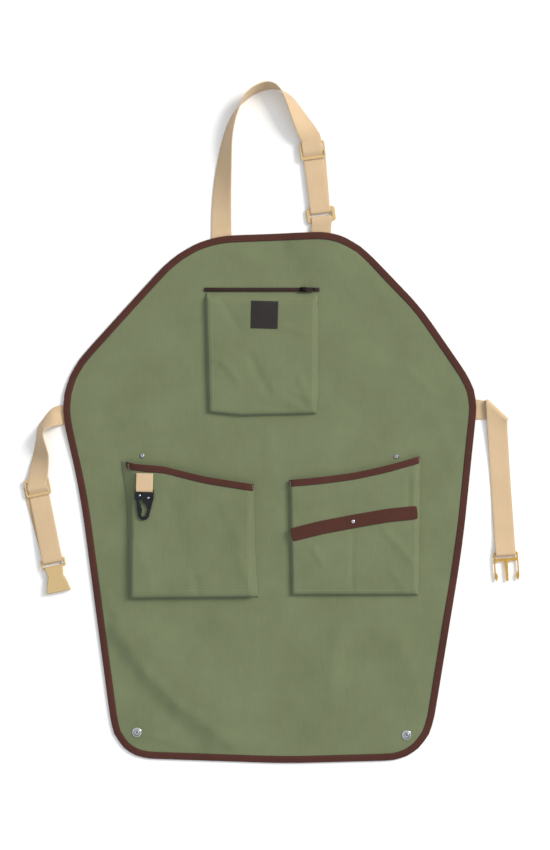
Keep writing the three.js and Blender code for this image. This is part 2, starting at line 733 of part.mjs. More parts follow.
// Tape over the pocket's mouth, from part of the way up one side wall to the same place on the other
function mouthTape(grid) {
  const middle = (j, i) => grid.outside[j][i].clone().lerp(grid.inside[j][i], 0.5);
  const row = (j) => {
    const points = grid.outside[j].map((_, i) => middle(j, i));
    points[0].lerp(points[1], MOUTH_TAPE_START);
    points[grid.columns].lerp(points[grid.columns - 1], MOUTH_TAPE_START);
    return points;
  };
  const [rim, below] = [row(grid.rows), row(grid.rows - 1)];
  const inwards = rim.map((point, i) => below[i].clone().sub(point).normalize());
  const edges = rim.map((point, i) => point.clone().addScaledVector(inwards[i], -(TAPE + CLEARANCE)));
  return loft(tapeSection(), mitred(edges, inwards));
}

const leftGrid = pocketGrid(LEFT_POCKET);
const rightGrid = pocketGrid(RIGHT_POCKET);
const chestGrid = pocketGrid(CHEST_POCKET);
add('left_pocket', pocketSolid(leftGrid), 'green');
add('right_pocket', pocketSolid(rightGrid), 'green');
add('chest_pocket', pocketSolid(chestGrid), 'green');
add('left_pocket_binding', mouthTape(leftGrid), 'brown');
add('right_pocket_binding', mouthTape(rightGrid), 'brown');

const frontOf = (pocket) => LEVEL + CLEARANCE + pocket.depth;

function onPocket(pocket, across, up) {
  return new THREE.Vector3(pocket.across + across * pocket.width, pocket.up + up * pocket.height, frontOf(pocket));
}

// The band lies on the right pocket's front, sewn down at its ends and riveted near its middle

function bandFrames() {
  const centre = (share) => onPocket(RIGHT_POCKET, share, between(BAND_LINE, 'across', share, 'up'));
  const points = BAND_LINE.map(({ across }) => centre(across));
  const rise = CLEARANCE + BAND_THICK / 2;
  return points.map((point, i) => {
    const run = points[Math.min(i + 1, points.length - 1)].clone().sub(points[Math.max(i - 1, 0)]).normalize();
    return { origin: point.clone().addScaledVector(UP, rise), inward: UP.clone().cross(run), up: UP };
  });
}

function strapSection(width, thick) {
  const [w, t] = [width / 2, thick / 2];
  return [[-w, -t], [w, -t], [w, t], [-w, t]];
}

add('tool_band', loft(strapSection(BAND_WIDTH, BAND_THICK), bandFrames()), 'brown');

// A low domed head
function dome(radius, height) {
  const profile = [[0, 0], [radius, 0], [radius, height * 0.3], [radius * 0.8, height * 0.8], [radius * 0.35, height]];
  const points = [...profile, [0, height]].map(([x, y]) => new THREE.Vector2(x, y));
  return new THREE.LatheGeometry(points, ROUND_SIDES).rotateX(Math.PI / 2);
}

const rivet = add('band_rivet', dome(RIVET_RADIUS, RIVET_HEIGHT), 'steel');
rivet.position.copy(onPocket(RIGHT_POCKET, RIVET_ACROSS, between(BAND_LINE, 'across', RIVET_ACROSS, 'up')));
rivet.position.z += BAND_THICK + 2 * CLEARANCE;

// The label lies on the chest pocket's front
const label = add('pocket_label', new THREE.BoxGeometry(LABEL_WIDTH, LABEL_HEIGHT, LABEL_THICK), 'label');
label.position.copy(onPocket(CHEST_POCKET, LABEL_ACROSS, LABEL_UP));
label.position.z += CLEARANCE + LABEL_THICK / 2;
label.rotation.z = LABEL_TURN;

// The zip runs along the chest pocket's top, just above the foot of its top gusset

const zipStart = new THREE.Vector3(CHEST_POCKET.across, CHEST_POCKET.up + CHEST_POCKET.height + CLEARANCE
  + ZIP_WIDTH / 2, LEVEL + CLEARANCE);
const zipTop = zipStart.z + ZIP_TAPE + ZIP_TEETH;

function zipSection() {
  const [w, t] = [ZIP_WIDTH / 2, ZIP_TEETH_WIDTH / 2];
  return [[-w, 0], [w, 0], [w, ZIP_TAPE], [t, ZIP_TAPE], [t, ZIP_TAPE + ZIP_TEETH], [-t, ZIP_TAPE + ZIP_TEETH],
    [-t, ZIP_TAPE], [-w, ZIP_TAPE]];
}

add('chest_zip', loft(zipSection(), [0, 1].map((share) => ({
  origin: zipStart.clone().add(new THREE.Vector3(share * CHEST_POCKET.width, 0, 0)),
  inward: new THREE.Vector3(0, 1, 0),
  up: UP,
}))), 'zip');

// The slider's local origin is the hinge of its tag, with the zip along X
function zipSliderSolid() {
  const floor = -(PULL.barrel + CLEARANCE);
  const body = block(
    new THREE.Vector3(-SLIDER_BODY.length / 2, -SLIDER_BODY.width / 2, floor - SLIDER_BODY.thick),
    new THREE.Vector3(SLIDER_BODY.length / 2, SLIDER_BODY.width / 2, floor));
  const ears = [-1, 1].map((side) => {
    const middle = side * (PULL.tongue / 2 + CLEARANCE + EAR.thick / 2);
    return block(
      new THREE.Vector3(-EAR.length / 2, middle - EAR.thick / 2, floor - EAR.thick),
      new THREE.Vector3(EAR.length / 2, middle + EAR.thick / 2, 2 * PULL_PIN));
  });
  return join(body, ...ears, crossPin(PULL_PIN, PULL.tongue + 2 * CLEARANCE + EAR.thick));
}

// The tag: a barrel round the pin, a narrow tongue and a wider blade with a round end and an eye
function zipPullSolid() {
  const neck = PULL.barrel + 2 * CLEARANCE + EAR.length / 2;
  const end = PULL.length - PULL.width / 2;
  const blade = new THREE.Shape();
  blade.moveTo(0, -PULL.tongue / 2);
  blade.lineTo(neck, -PULL.tongue / 2);
  blade.lineTo(neck, -PULL.width / 2);
  blade.absarc(end, 0, PULL.width / 2, -Math.PI / 2, Math.PI / 2);
  blade.lineTo(neck, PULL.width / 2);
  blade.lineTo(neck, PULL.tongue / 2);
  blade.lineTo(0, PULL.tongue / 2);
  blade.closePath();
  const eye = new THREE.Path();
  eye.absarc(end, 0, PULL.eye, 0, 2 * Math.PI);
  blade.holes.push(eye);
  const bore = crossPin(PULL_PIN + CLEARANCE, 2 * PULL.tongue);
  return cut(join(plate(blade, PULL.thick, 0, 4), crossPin(PULL.barrel, PULL.tongue)), bore);
}

const zipSlider = new THREE.Group();
zipSlider.position.set(zipStart.x + SLIDER_ACROSS * CHEST_POCKET.width, zipStart.y,
  zipTop + CLEARANCE + SLIDER_BODY.thick + CLEARANCE + PULL.barrel);
apron.add(zipSlider);
add('zip_slider', zipSliderSolid(), 'zip', zipSlider);
add('zip_pull', zipPullSolid(), 'zip', zipSlider).rotation.y = PULL_REST;

// Studs and press studs: a broad foot, a waist and a flat top
function stud(radius, height) {
  const waist = radius * STUD_STEM;
  const profile = [[0, 0], [radius, 0], [radius, height * 0.3], [waist, height * 0.5], [waist, height], [0, height]];
  const points = profile.map(([x, y]) => new THREE.Vector2(x, y));
  return new THREE.LatheGeometry(points, ROUND_SIDES).rotateX(Math.PI / 2);
}

for (const { name, across, up, radius, height } of STUDS) {
  const [x, y] = [across * PANEL_WIDTH, up * PANEL_HEIGHT];
  const seated = add(name, stud(radius, height), 'steel');
  seated.position.set(x, y, panelTopAt(x, y, radius) + CLEARANCE);
}

// Webbing

// The outer side of a turn of webbing round a bar, as points along the strap and up: four flats that keep
// the clearance from a chamfered bar. It ends where the webbing leaves the bar again on its under side.
function turnRound({ middle, height, width, thick }, web) {
  const reach = thick / 2 + CLEARANCE + web / 2;
  const centre = middle + (width - thick) / 2;
  const radius = reach / Math.cos(Math.PI / 8);
  const turns = [3, 1, -1, -3].map((eighth) => {
    const angle = eighth * Math.PI / 8;
    return { along: centre + radius * Math.cos(angle), up: height + radius * Math.sin(angle) };
  });
  return [
    { along: middle - width / 2, up: height + reach },
    ...turns,
    { along: middle - width / 2, up: height - reach },
  ];
}

// A strap over a slider's first two bars, under its third, on to a bar, round it and back beneath
function doubledProfile(sliderHeight, bar) {
  const over = SLIDER_THICK / 2 + CLEARANCE + WEB / 2;
  const middle = SLIDER_BAR / 2 + SLOT_EASE;
  const far = SLIDER_BAR / 2 + SLIDER_SLOT - SLOT_EASE;
  const end = 1.5 * SLIDER_BAR + SLIDER_SLOT + SLOT_EASE;
  const beneath = sliderHeight - over - WEB - CLEARANCE;
  return {
    main: [
      { along: -end, up: sliderHeight + over },
      { along: middle, up: sliderHeight + over },
      { along: far, up: sliderHeight - over },
      { along: end, up: sliderHeight - over },
    ],
    turn: turnRound(bar, WEB),
    back: [
      { along: end, up: beneath },
      { along: far, up: beneath },
      { along: middle, up: sliderHeight - over },
      { along: -middle, up: sliderHeight - over },
    ],
  };
}

// Profile points set out from a place on the floor along a direction, with a sideways shift for each
function setOut(profile, from, direction, shift = () => 0) {
  const aside = direction.clone().cross(UP);
  return profile.map((row) => from.clone().addScaledVector(direction, row.along)
    .addScaledVector(aside, shift(row)).addScaledVector(UP, row.up));
}

// Points and level directions of a free stretch of webbing from rows of x, y, raise and roll in degrees
function freeStretch(rows, steps) {
  const route = new THREE.CatmullRomCurve3(rows.map(({ x, y, raise }) => new THREE.Vector3(x, y, raise)));
  const count = (rows.length - 1) * steps;
  const origins = [];
  const acrosses = [];
  for (let k = 0; k <= count; k++) {
    const point = route.getPoint(k / count);
    const [before, after] = [Math.floor(k / steps), Math.ceil(k / steps)].map((row) => rows[row].roll);
    const roll = THREE.MathUtils.degToRad(THREE.MathUtils.lerp(before, after, (k % steps) / steps));
    const heading = route.getTangent(k / count).setZ(0).normalize();
    const level = heading.clone().cross(UP);
    point.z += Math.abs(Math.sin(roll)) * WEB_WIDTH / 2 + Math.abs(Math.cos(roll)) * WEB / 2;
    origins.push(point);
    acrosses.push(level.multiplyScalar(Math.cos(roll)).addScaledVector(UP, Math.sin(roll)));
  }
  return { origins, acrosses };
}

function strap(origins, acrosses, width = WEB_WIDTH, web = WEB) {
  return loft(strapSection(width, web), mitred(origins, acrosses));
}

function strapSliderSolid() {
  const shape = roundedRectangle(SLIDER_WIDTH, 3 * SLIDER_BAR + 2 * SLIDER_SLOT, SLIDER_BAR * 0.8);
  for (const side of [-1, 1]) {
    shape.holes.push(slotHole(WEB_WIDTH + 2 * STRAP_PLAY, SLIDER_SLOT, side * (SLIDER_BAR + SLIDER_SLOT) / 2));
  }
  return plate(shape, SLIDER_THICK, SLIDER_BEVEL);
}

function headingOf(lean) {
  return new THREE.Vector3(Math.sin(lean), -Math.cos(lean), 0);
}

// Neck strap, slider and ring

const webTurn = (thick) => thick / 2 + CLEARANCE + WEB / 2;
const ringHeight = webTurn(RING.thick) + WEB / 2;
const neckHeading = headingOf(NECK_LEAN);
const ringAside = neckHeading.clone().cross(UP);
const ringCentre = new THREE.Vector3(neckRight.x, neckRight.y + RING.rise, 0);
const neckSliderPlace = ringCentre.clone().addScaledVector(neckHeading, -NECK_DOUBLED);

const ringBar = (side) => ({
  middle: side * (RING.length - RING.bar) / 2, height: ringHeight, width: RING.bar, thick: RING.thick,
});

function neckStrapSolid() {
  const bar = { ...ringBar(-1), middle: NECK_DOUBLED - (RING.length - RING.bar) / 2 };
  const { main, turn, back } = doubledProfile(NECK_SLIDER_LIFT, bar);
  const end = main.at(-1).along;
  const shift = ({ along }) => NECK_SWAY * THREE.MathUtils.clamp((bar.middle - along) / (bar.middle - end), 0, 1);
  const threaded = [
    ...setOut([...main, ...turn], neckSliderPlace, neckHeading),
    ...setOut(back, neckSliderPlace, neckHeading, (row) => -shift(row)),
  ];
  const lead = neckSliderPlace.clone().addScaledVector(neckHeading, -2 * end);
  const rows = NECK_ROWS.map(({ across, up, roll, raise }) => ({
    x: neckLeft.x + across * NECK_SPREAD, y: neckLeft.y + up * NECK_RISE, roll, raise: raise * WEB_WIDTH,
  }));
  rows[0].y = neckLeft.y - WEB_TUCK;
  rows.push({ x: lead.x, y: lead.y, roll: 10, raise: NECK_SLIDER_LIFT });
  const free = freeStretch(rows, 2);
  const level = neckHeading.clone().cross(UP);
  return strap([...free.origins, ...threaded], [...free.acrosses, ...threaded.map(() => level)]);
}

add('neck_strap', neckStrapSolid(), 'webbing');

const neckSlider = add('neck_slider', strapSliderSolid(), 'moulded');
neckSlider.position.copy(neckSliderPlace).setZ(NECK_SLIDER_LIFT);
neckSlider.rotation.z = NECK_LEAN;

const ringShape = roundedRectangle(RING.width, RING.length, RING.bar * 0.5);
ringShape.holes.push(slotHole(WEB_WIDTH + 2 * STRAP_PLAY, RING.length - 2 * RING.bar));
const ring = add('neck_ring', plate(ringShape, RING.thick, RING.bevel), 'moulded');
ring.position.copy(ringCentre).setZ(ringHeight);
ring.rotation.z = NECK_LEAN;

// The ring's anchor: webbing round its lower bar, both layers sewn under the panel's top edge
function neckAnchorSolid() {
  const bar = ringBar(-1);
  const tuck = -(RING.rise + WEB_TUCK);
  const edge = -(RING.rise - WEB);
  const upperLayer = 1.5 * WEB + CLEARANCE;
  const place = new THREE.Vector3(neckRight.x, ringCentre.y, 0);
  const sewn = (up) => setOut([{ along: tuck, up }, { along: edge, up }], place, new THREE.Vector3(0, 1, 0));
  const turned = setOut(turnRound(bar, WEB), ringCentre, neckHeading.clone().negate());
  const points = [...sewn(upperLayer), ...turned, ...sewn(WEB / 2).reverse()];
  const levels = points.map((_, i) => (i < 2 || i >= points.length - 2 ? new THREE.Vector3(1, 0, 0)
    : ringAside.clone().negate()));
  return strap(points, levels);
}

add('neck_anchor', neckAnchorSolid(), 'webbing');

// Left waist strap, slider and buckle socket

const socketHeight = SOCKET.thick / 2;
const waistSliderLift = SLIDER_THICK / 2 + 2 * WEB + 2 * CLEARANCE;
const leftHeading = headingOf(LEFT_LEAN);
const waistSliderPlace = new THREE.Vector3(hipLeft.x - LEFT_REACH, hipLeft.y - LEFT_DROP, 0);

function leftStrapSolid() {
  const bar = { middle: LEFT_DOUBLED, height: socketHeight, width: SOCKET.bar, thick: SOCKET.barThick };
  const { main, turn, back } = doubledProfile(waistSliderLift, bar);
  const end = main.at(-1).along;
  const shift = ({ along }) => LEFT_SWAY * THREE.MathUtils.clamp((bar.middle - along) / (bar.middle - end), 0, 1);
  const threaded = [
    ...setOut([...main, ...turn], waistSliderPlace, leftHeading),
    ...setOut(back, waistSliderPlace, leftHeading, (row) => -shift(row)),
  ];
  const rows = LEFT_ROWS.map(({ out, down, roll }) => ({
    x: hipLeft.x - out * LEFT_REACH, y: hipLeft.y - down * LEFT_DROP, roll: -roll, raise: 0,
  }));
  rows[0].x = hipLeft.x + WEB_TUCK;
  const free = freeStretch(rows, 2);
  const level = leftHeading.clone().cross(UP);
  return strap([...free.origins, ...threaded], [...free.acrosses, ...threaded.map(() => level)]);
}

add('left_waist_strap', leftStrapSolid(), 'webbing');

const waistSlider = add('waist_slider', strapSliderSolid(), 'moulded');
waistSlider.position.copy(waistSliderPlace).setZ(waistSliderLift);
waistSlider.rotation.z = LEFT_LEAN;

// The socket: a bar across a slotted frame, and a body that narrows to a waist, open through its mouth so
// that the waist's sides are open too. Its local origin is the middle of the bar, with the mouth at -Y.
function socketSolid() {
  const start = -(SOCKET.bar / 2 + SOCKET.slot);
  const end = start - SOCKET.length;
  const frameLength = SOCKET.bar + SOCKET.slot + SOCKET.frame;
  const frameShape = roundedRectangle(SOCKET.width, frameLength, SOCKET.bar / 2,
    SOCKET.bar / 2 - frameLength / 2);
  frameShape.holes.push(slotHole(WEB_WIDTH + STRAP_PLAY, SOCKET.slot, -(SOCKET.bar + SOCKET.slot) / 2));
  const waist = THREE.MathUtils.lerp(start, end, SOCKET.waistAt);
  const body = new THREE.Shape();
  body.moveTo(SOCKET.neck / 2, start);
  body.lineTo(-SOCKET.neck / 2, start);
  body.bezierCurveTo(-SOCKET.neck / 2, waist / 2 + start / 2, -SOCKET.waist / 2, waist, -SOCKET.waist / 2, waist);
  body.bezierCurveTo(-SOCKET.waist / 2, waist - SOCKET.slot, -SOCKET.width / 2, waist / 2 + end / 2,
    -SOCKET.width / 2, end);
  body.lineTo(SOCKET.width / 2, end);
  body.bezierCurveTo(SOCKET.width / 2, waist / 2 + end / 2, SOCKET.waist / 2, waist - SOCKET.slot,
    SOCKET.waist / 2, waist);
  body.bezierCurveTo(SOCKET.waist / 2, waist, SOCKET.neck / 2, waist / 2 + start / 2, SOCKET.neck / 2, start);
  const hollow = block(
    new THREE.Vector3(-SOCKET.mouth / 2, end - 1, SOCKET.wall - SOCKET.thick / 2),
    new THREE.Vector3(SOCKET.mouth / 2, end + SOCKET.depth, SOCKET.thick / 2 - SOCKET.wall));
  return cut(join(plate(frameShape, SOCKET.barThick, SOCKET.bevel), plate(body, SOCKET.thick, SOCKET.bevel)), hollow);
}

const socket = add('buckle_socket', socketSolid(), 'moulded');
socket.position.copy(waistSliderPlace).addScaledVector(leftHeading, LEFT_DOUBLED).setZ(socketHeight);
socket.rotation.z = LEFT_LEAN;

// Right waist strap and buckle plug

// The strap leaves the hip level, wraps round a fold line that halves its turn, and runs down on top.
// A rung lies along the fold line in the fold and turns square to the strap below it.
const rightHeading = headingOf(RIGHT_LEAN);
const foldAngle = (Math.PI / 2 - RIGHT_LEAN) / 2;
const foldCentre = new THREE.Vector3(hipRight.x + RIGHT_REACH, hipRight.y, 0);
const plugHeight = webTurn(PLUG.barThick) + WEB / 2;

function rightStrapSolid() {
  const origins = [];
  const acrosses = [];
  const rung = (point, height, angle, heading) => {
    const across = new THREE.Vector3(Math.cos(angle), Math.sin(angle), 0);
    const slant = Math.abs(across.clone().cross(heading).z);
    origins.push(point.clone().setZ(height));
    acrosses.push(across.divideScalar(slant));
  };
  const out = new THREE.Vector3(1, 0, 0);
  const floor = WEB / 2;
  const away = new THREE.Vector3(Math.sin(foldAngle), Math.cos(foldAngle), 0);
  const radius = RIGHT_FOLD_RADIUS;
  const centre = foldCentre.clone().addScaledVector(away, -radius);
  rung(new THREE.Vector3(hipRight.x - WEB_TUCK, hipRight.y, 0), floor, -Math.PI / 2, out);
  rung(new THREE.Vector3(hipRight.x, hipRight.y, 0), floor, -Math.PI / 2, out);
  for (const eighth of [0, 1, 2, 3, 4]) {
    const angle = (eighth / 4 - 0.5) * Math.PI;
    const bulge = centre.clone().addScaledVector(away, radius * Math.cos(angle));
    rung(bulge, floor + radius + radius * Math.sin(angle), -foldAngle, out);
  }
  const steps = 5;
  for (let k = 1; k <= steps; k++) {
    const share = k / steps;
    const point = centre.clone().addScaledVector(rightHeading, share * WEB_WIDTH);
    const angle = THREE.MathUtils.lerp(-foldAngle, RIGHT_LEAN, share);
    rung(point, floor + 2 * radius * (1 - 0.5 * share), angle, rightHeading);
  }
  const plugAlong = RIGHT_DROP;
  const bar = { middle: plugAlong, height: plugHeight, width: PLUG.bar, thick: PLUG.barThick };
  const stacked = 1.5 * WEB + CLEARANCE;
  const profile = [
    { along: plugAlong - RIGHT_RETURN - WEB_WIDTH, up: WEB / 2 },
    { along: plugAlong - RIGHT_RETURN, up: stacked },
    { along: plugAlong - RIGHT_RETURN / 2, up: stacked },
    ...turnRound(bar, WEB),
    { along: plugAlong - RIGHT_RETURN + WEB, up: WEB / 2 },
  ];
  const middle = { along: 0.4 * plugAlong, up: WEB / 2 };
  for (const point of setOut([middle, ...profile], centre, rightHeading)) {
    rung(point, point.z, RIGHT_LEAN, rightHeading);
  }
  return strap(origins, acrosses);
}

add('right_waist_strap', rightStrapSolid(), 'webbing');

// The plug: a frame round the webbing's bar, two prongs with broad ends and a blade between them
function plugSolid() {
  const frameLength = PLUG.bar + PLUG.slot + PLUG.bridge;
  const start = PLUG.bar / 2 - frameLength;
  const frameShape = roundedRectangle(PLUG.width, frameLength, PLUG.bar / 2, PLUG.bar / 2 - frameLength / 2);
  frameShape.holes.push(slotHole(PLUG.width - 2 * PLUG.frame, PLUG.slot, -(PLUG.bar + PLUG.slot) / 2));
  const end = start - PLUG.reach;
  const edge = PLUG.width / 2;
  const prongs = [-1, 1].map((side) => plate(polygon([
    [side * edge, start + 1], [side * edge, end + PLUG.lobeLength * 0.4], [side * (edge - PLUG.arm), end],
    [side * (edge - PLUG.arm - 1), end], [side * (edge - PLUG.lobe), end + PLUG.lobeLength * 0.5],
    [side * (edge - PLUG.arm), end + PLUG.lobeLength], [side * (edge - PLUG.arm), start + 1],
  ]), PLUG.barThick, 0.5));
  const blade = plate(polygon([
    [-PLUG.blade / 2, start + 1], [PLUG.blade / 2, start + 1], [PLUG.blade * 0.35, end - 1],
    [-PLUG.blade * 0.35, end - 1],
  ]), PLUG.barThick * 0.8, 0.5);
  return join(plate(frameShape, PLUG.barThick, PLUG.bevel), ...prongs, blade);
}

const plug = add('buckle_plug', plugSolid(), 'gilt');
plug.position.copy(foldCentre)
  .addScaledVector(new THREE.Vector3(Math.sin(foldAngle), Math.cos(foldAngle), 0), -RIGHT_FOLD_RADIUS)
  .addScaledVector(rightHeading, RIGHT_DROP).setZ(plugHeight);
plug.rotation.z = RIGHT_LEAN;

// Clip: its local origin is the middle of the bar that the tab holds, with the hook towards -Y

const clip = new THREE.Group();
const tabTop = onPocket(LEFT_POCKET, TAB_ACROSS, between(LEFT_POCKET.mouth, 'across', TAB_ACROSS, 'up'));
const clipRise = CLEARANCE + TAB_WEB + CLEARANCE + CLIP_BAR.thick / 2;
clip.position.copy(tabTop);
clip.position.y -= TAPE_GRIP + TAB_LENGTH - CLIP_BAR.width / 2 - CLEARANCE - TAB_WEB;
clip.position.z += clipRise;
clip.rotation.z = CLIP_LEAN;
apron.add(clip);

function tabSolid() {
  const bar = { middle: 0, height: 0, width: CLIP_BAR.width, thick: CLIP_BAR.thick };
  const turn = turnRound(bar, TAB_WEB);
  const start = -(TAB_LENGTH - CLIP_BAR.width / 2 - 2 * TAB_WEB);
  const lowest = turn.at(-1).up;
  const profile = [
    { along: start, up: lowest + TAB_WEB + CLEARANCE },
    { along: start / 2, up: lowest + TAB_WEB + CLEARANCE + CLIP_BAR.thick / 2 },
    ...turn,
    { along: start, up: lowest },
  ];
  const points = setOut(profile, new THREE.Vector3(), new THREE.Vector3(0, -1, 0));
  return strap(points, points.map(() => new THREE.Vector3(-1, 0, 0)), TAB_WIDTH, TAB_WEB);
}

add('clip_tab', tabSolid(), 'webbing', clip);

const clipHalf = TAB_WIDTH / 2 + CLEARANCE + CLIP_LINK;
const headTop = -(CLIP_BAR.width / 2 + CLIP_SLOT);
const headFoot = headTop - CLIP_HEAD.length;
const hookCentre = new THREE.Vector2(0, headTop - CLIP_HOOK.reach);
const gatePin = new THREE.Vector2(GATE_PIN_ACROSS, (headTop + headFoot) / 2 - CLEARANCE);
const gateSlotTop = gatePin.y + GATE.eye + 2 * CLEARANCE;

// Half the width of the hook's outline, and of its hole, at a height between the head and the round end
const outerHalf = (y) => THREE.MathUtils.mapLinear(y, headFoot, hookCentre.y, clipHalf - CLIP_LINK / 2,
  CLIP_HOOK.radius);
const innerHalf = (y) => outerHalf(y) - CLIP_HOOK.wall - CLIP_LINK / 2;

function clipFrameSolid() {
  const headShape = roundedRectangle(2 * clipHalf, CLIP_BAR.width + CLIP_SLOT + CLIP_HEAD.length, CLIP_LINK,
    (CLIP_BAR.width / 2 + headFoot) / 2);
  headShape.holes.push(slotHole(2 * (clipHalf - CLIP_LINK), CLIP_SLOT, (headTop - CLIP_BAR.width / 2) / 2));
  const cheeks = roundedRectangle(2 * clipHalf, CLIP_HEAD.length, CLIP_LINK, (headTop + headFoot) / 2);
  const head = join(plate(headShape, CLIP_BAR.thick, CLIP_BEVEL), plate(cheeks, CLIP_HEAD.thick, CLIP_BEVEL));
  const hook = new THREE.Shape();
  hook.moveTo(outerHalf(headFoot), headFoot + CLIP_LINK);
  hook.lineTo(-outerHalf(headFoot), headFoot + CLIP_LINK);
  hook.lineTo(-outerHalf(headFoot), headFoot);
  hook.absarc(hookCentre.x, hookCentre.y, CLIP_HOOK.radius, Math.PI, 2 * Math.PI);
  hook.lineTo(outerHalf(headFoot), headFoot);
  hook.closePath();
  const hole = new THREE.Path();
  const apex = headFoot - CLIP_HOOK.wall;
  const belly = (apex + hookCentre.y) / 2;
  hole.moveTo(0, apex);
  hole.lineTo(-innerHalf(belly), belly);
  hole.absarc(hookCentre.x, hookCentre.y, innerHalf(hookCentre.y), Math.PI, 2 * Math.PI);
  hole.lineTo(innerHalf(belly), belly);
  hole.closePath();
  hook.holes.push(hole);
  const mouthFoot = headFoot - CLIP_HOOK.mouth;
  const mouth = block(
    new THREE.Vector3(-2 * clipHalf, mouthFoot, -CLIP_HEAD.thick),
    new THREE.Vector3(-CLIP_LINK, headFoot, CLIP_HEAD.thick));
  const slot = block(
    new THREE.Vector3(-2 * clipHalf, headFoot - CLIP_LINK, -(GATE.thick / 2 + CLEARANCE)),
    new THREE.Vector3(gatePin.x + GATE.eye + 2 * CLEARANCE, gateSlotTop, GATE.thick / 2 + CLEARANCE));
  const proud = (x) => rod(GATE.pin, CLIP_HEAD.thick - CLEARANCE).translate(x, gatePin.y, CLEARANCE * 1.5);
  const body = cut(join(head, cut(plate(hook, CLIP_HOOK.thick, CLIP_BEVEL, 5), mouth)), slot);
  return join(body, proud(gatePin.x), proud(-gatePin.x));
}

// The gate closes the hook's mouth: an eye round the left pin, an arm in line with the hook's side and a
// tongue that rests inside the hook's tip
function clipGateSolid() {
  const top = headFoot - CLEARANCE;
  const foot = headFoot - CLIP_HOOK.mouth + CLEARANCE;
  const tip = foot - GATE.tongue;
  const arm = polygon([
    [gatePin.x - GATE.pin, gatePin.y], [-outerHalf(top) + CLIP_LINK, top], [-outerHalf(foot), foot],
    [-innerHalf(foot) + CLEARANCE, foot], [-innerHalf(tip) + CLEARANCE, tip],
    [-innerHalf(tip) + CLIP_LINK + CLEARANCE, tip],
    [-innerHalf(foot) + CLIP_LINK + 2 * CLEARANCE, foot + GATE.tongue], [gatePin.x + GATE.pin, top],
    [gatePin.x + GATE.pin, gatePin.y],
  ]);
  const eye = rod(GATE.eye, GATE.thick).translate(gatePin.x, gatePin.y, 0);
  const bore = rod(GATE.pin + CLEARANCE, 2 * GATE.thick).translate(gatePin.x, gatePin.y, 0);
  return cut(join(plate(arm, GATE.thick), eye), bore);
}

add('clip_frame', clipFrameSolid(), 'black', clip);
add('clip_gate', clipGateSolid(), 'black', clip);

apron.updateMatrixWorld(true);
const box = new THREE.Box3().setFromObject(apron, true);
const centre = box.getCenter(new THREE.Vector3());
apron.position.set(-centre.x, -centre.y, -box.min.z);

export default apron;
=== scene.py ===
# %% [markdown]
# # A gardening apron, laid flat
# The apron lies on a pale floor and the camera looks straight down at it. The hard parts, such as the
# buckle, the sliders and the clip, come ready from the frame. The cloth, the tape and the webbing are made
# here, because cloth has folds, threads and stitches that a plain solid hasn't.

# %% Load the frame
import itertools
import math

import bmesh
import bpy
import numpy as np
from mathutils import Matrix, Vector, noise


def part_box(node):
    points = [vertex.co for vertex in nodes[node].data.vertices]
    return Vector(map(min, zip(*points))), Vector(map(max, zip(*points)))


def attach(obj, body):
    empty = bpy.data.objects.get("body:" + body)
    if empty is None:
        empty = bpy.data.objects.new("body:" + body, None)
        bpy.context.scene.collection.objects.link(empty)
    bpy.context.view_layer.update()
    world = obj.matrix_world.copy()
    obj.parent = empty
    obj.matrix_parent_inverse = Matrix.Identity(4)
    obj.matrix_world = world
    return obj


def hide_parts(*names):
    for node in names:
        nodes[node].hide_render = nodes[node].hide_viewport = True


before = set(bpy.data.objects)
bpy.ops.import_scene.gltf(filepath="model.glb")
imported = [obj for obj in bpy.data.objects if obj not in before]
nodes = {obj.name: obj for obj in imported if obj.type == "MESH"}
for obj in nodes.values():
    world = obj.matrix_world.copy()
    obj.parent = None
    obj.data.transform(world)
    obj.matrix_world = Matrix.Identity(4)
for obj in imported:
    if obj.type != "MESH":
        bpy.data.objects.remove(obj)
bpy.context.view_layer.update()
boxes = {name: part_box(name) for name in nodes}

# %% [markdown]
# ## Where a point of the photograph lies
# One pixel of the photograph is 1.5 mm on the floor, and the frame's origin lies under the pixel
# (FRAME_X, FRAME_Y). The folds below were measured in pixels, so one small function turns a pixel into
# metres in the frame.

# %% From pixels to metres
PIXEL = 0.0015
PHOTO_WIDTH, PHOTO_HEIGHT = 550, 850
FRAME_X, FRAME_Y = 271.41, 423.09


def at_pixel(across, down):
    return Vector(((across - FRAME_X) * PIXEL, (FRAME_Y - down) * PIXEL))


# %% [markdown]
# ## The camera
# A long lens from high above gives the flat, even view of a product photograph. Its focal length follows
# from the height and from how much floor the picture shows. A new object shows only when it is linked to
# the scene, so one function does both.

# %% Camera
CAMERA_HEIGHT = 3.6
SENSOR_MM = 36


def add_object(name, data):
    thing = bpy.data.objects.new(name, data)
    bpy.context.scene.collection.objects.link(thing)
    return thing


camera = add_object("camera", bpy.data.cameras.new("camera"))
centre = at_pixel(PHOTO_WIDTH / 2, PHOTO_HEIGHT / 2)
camera.location = (centre.x, centre.y, CAMERA_HEIGHT)
camera.data.sensor_width = SENSOR_MM
camera.data.lens = SENSOR_MM * CAMERA_HEIGHT / (PHOTO_HEIGHT * PIXEL)
bpy.context.scene.camera = camera
print("camera: lens", round(camera.data.lens, 1), "mm")

# %% [markdown]
# ## Colours and nodes
# Colours are written as the sRGB hex values that an eye picks from a picture. Shaders work in linear light,
# so one function converts them by the sRGB standard's own curve. A second one adds a node, sets its inputs
# and links those that are sockets. A node that mixes colours numbers its sockets, so the three are named.

# %% Colour and node helpers
MIX_A, MIX_B, MIX_RESULT = 6, 7, 2


def linear(hex_colour):
    shares = [int(hex_colour[i:i + 2], 16) / 255 for i in (1, 3, 5)]
    values = [s / 12.92 if s <= 0.04045 else ((s + 0.055) / 1.055) ** 2.4 for s in shares]
    return (*values, 1)


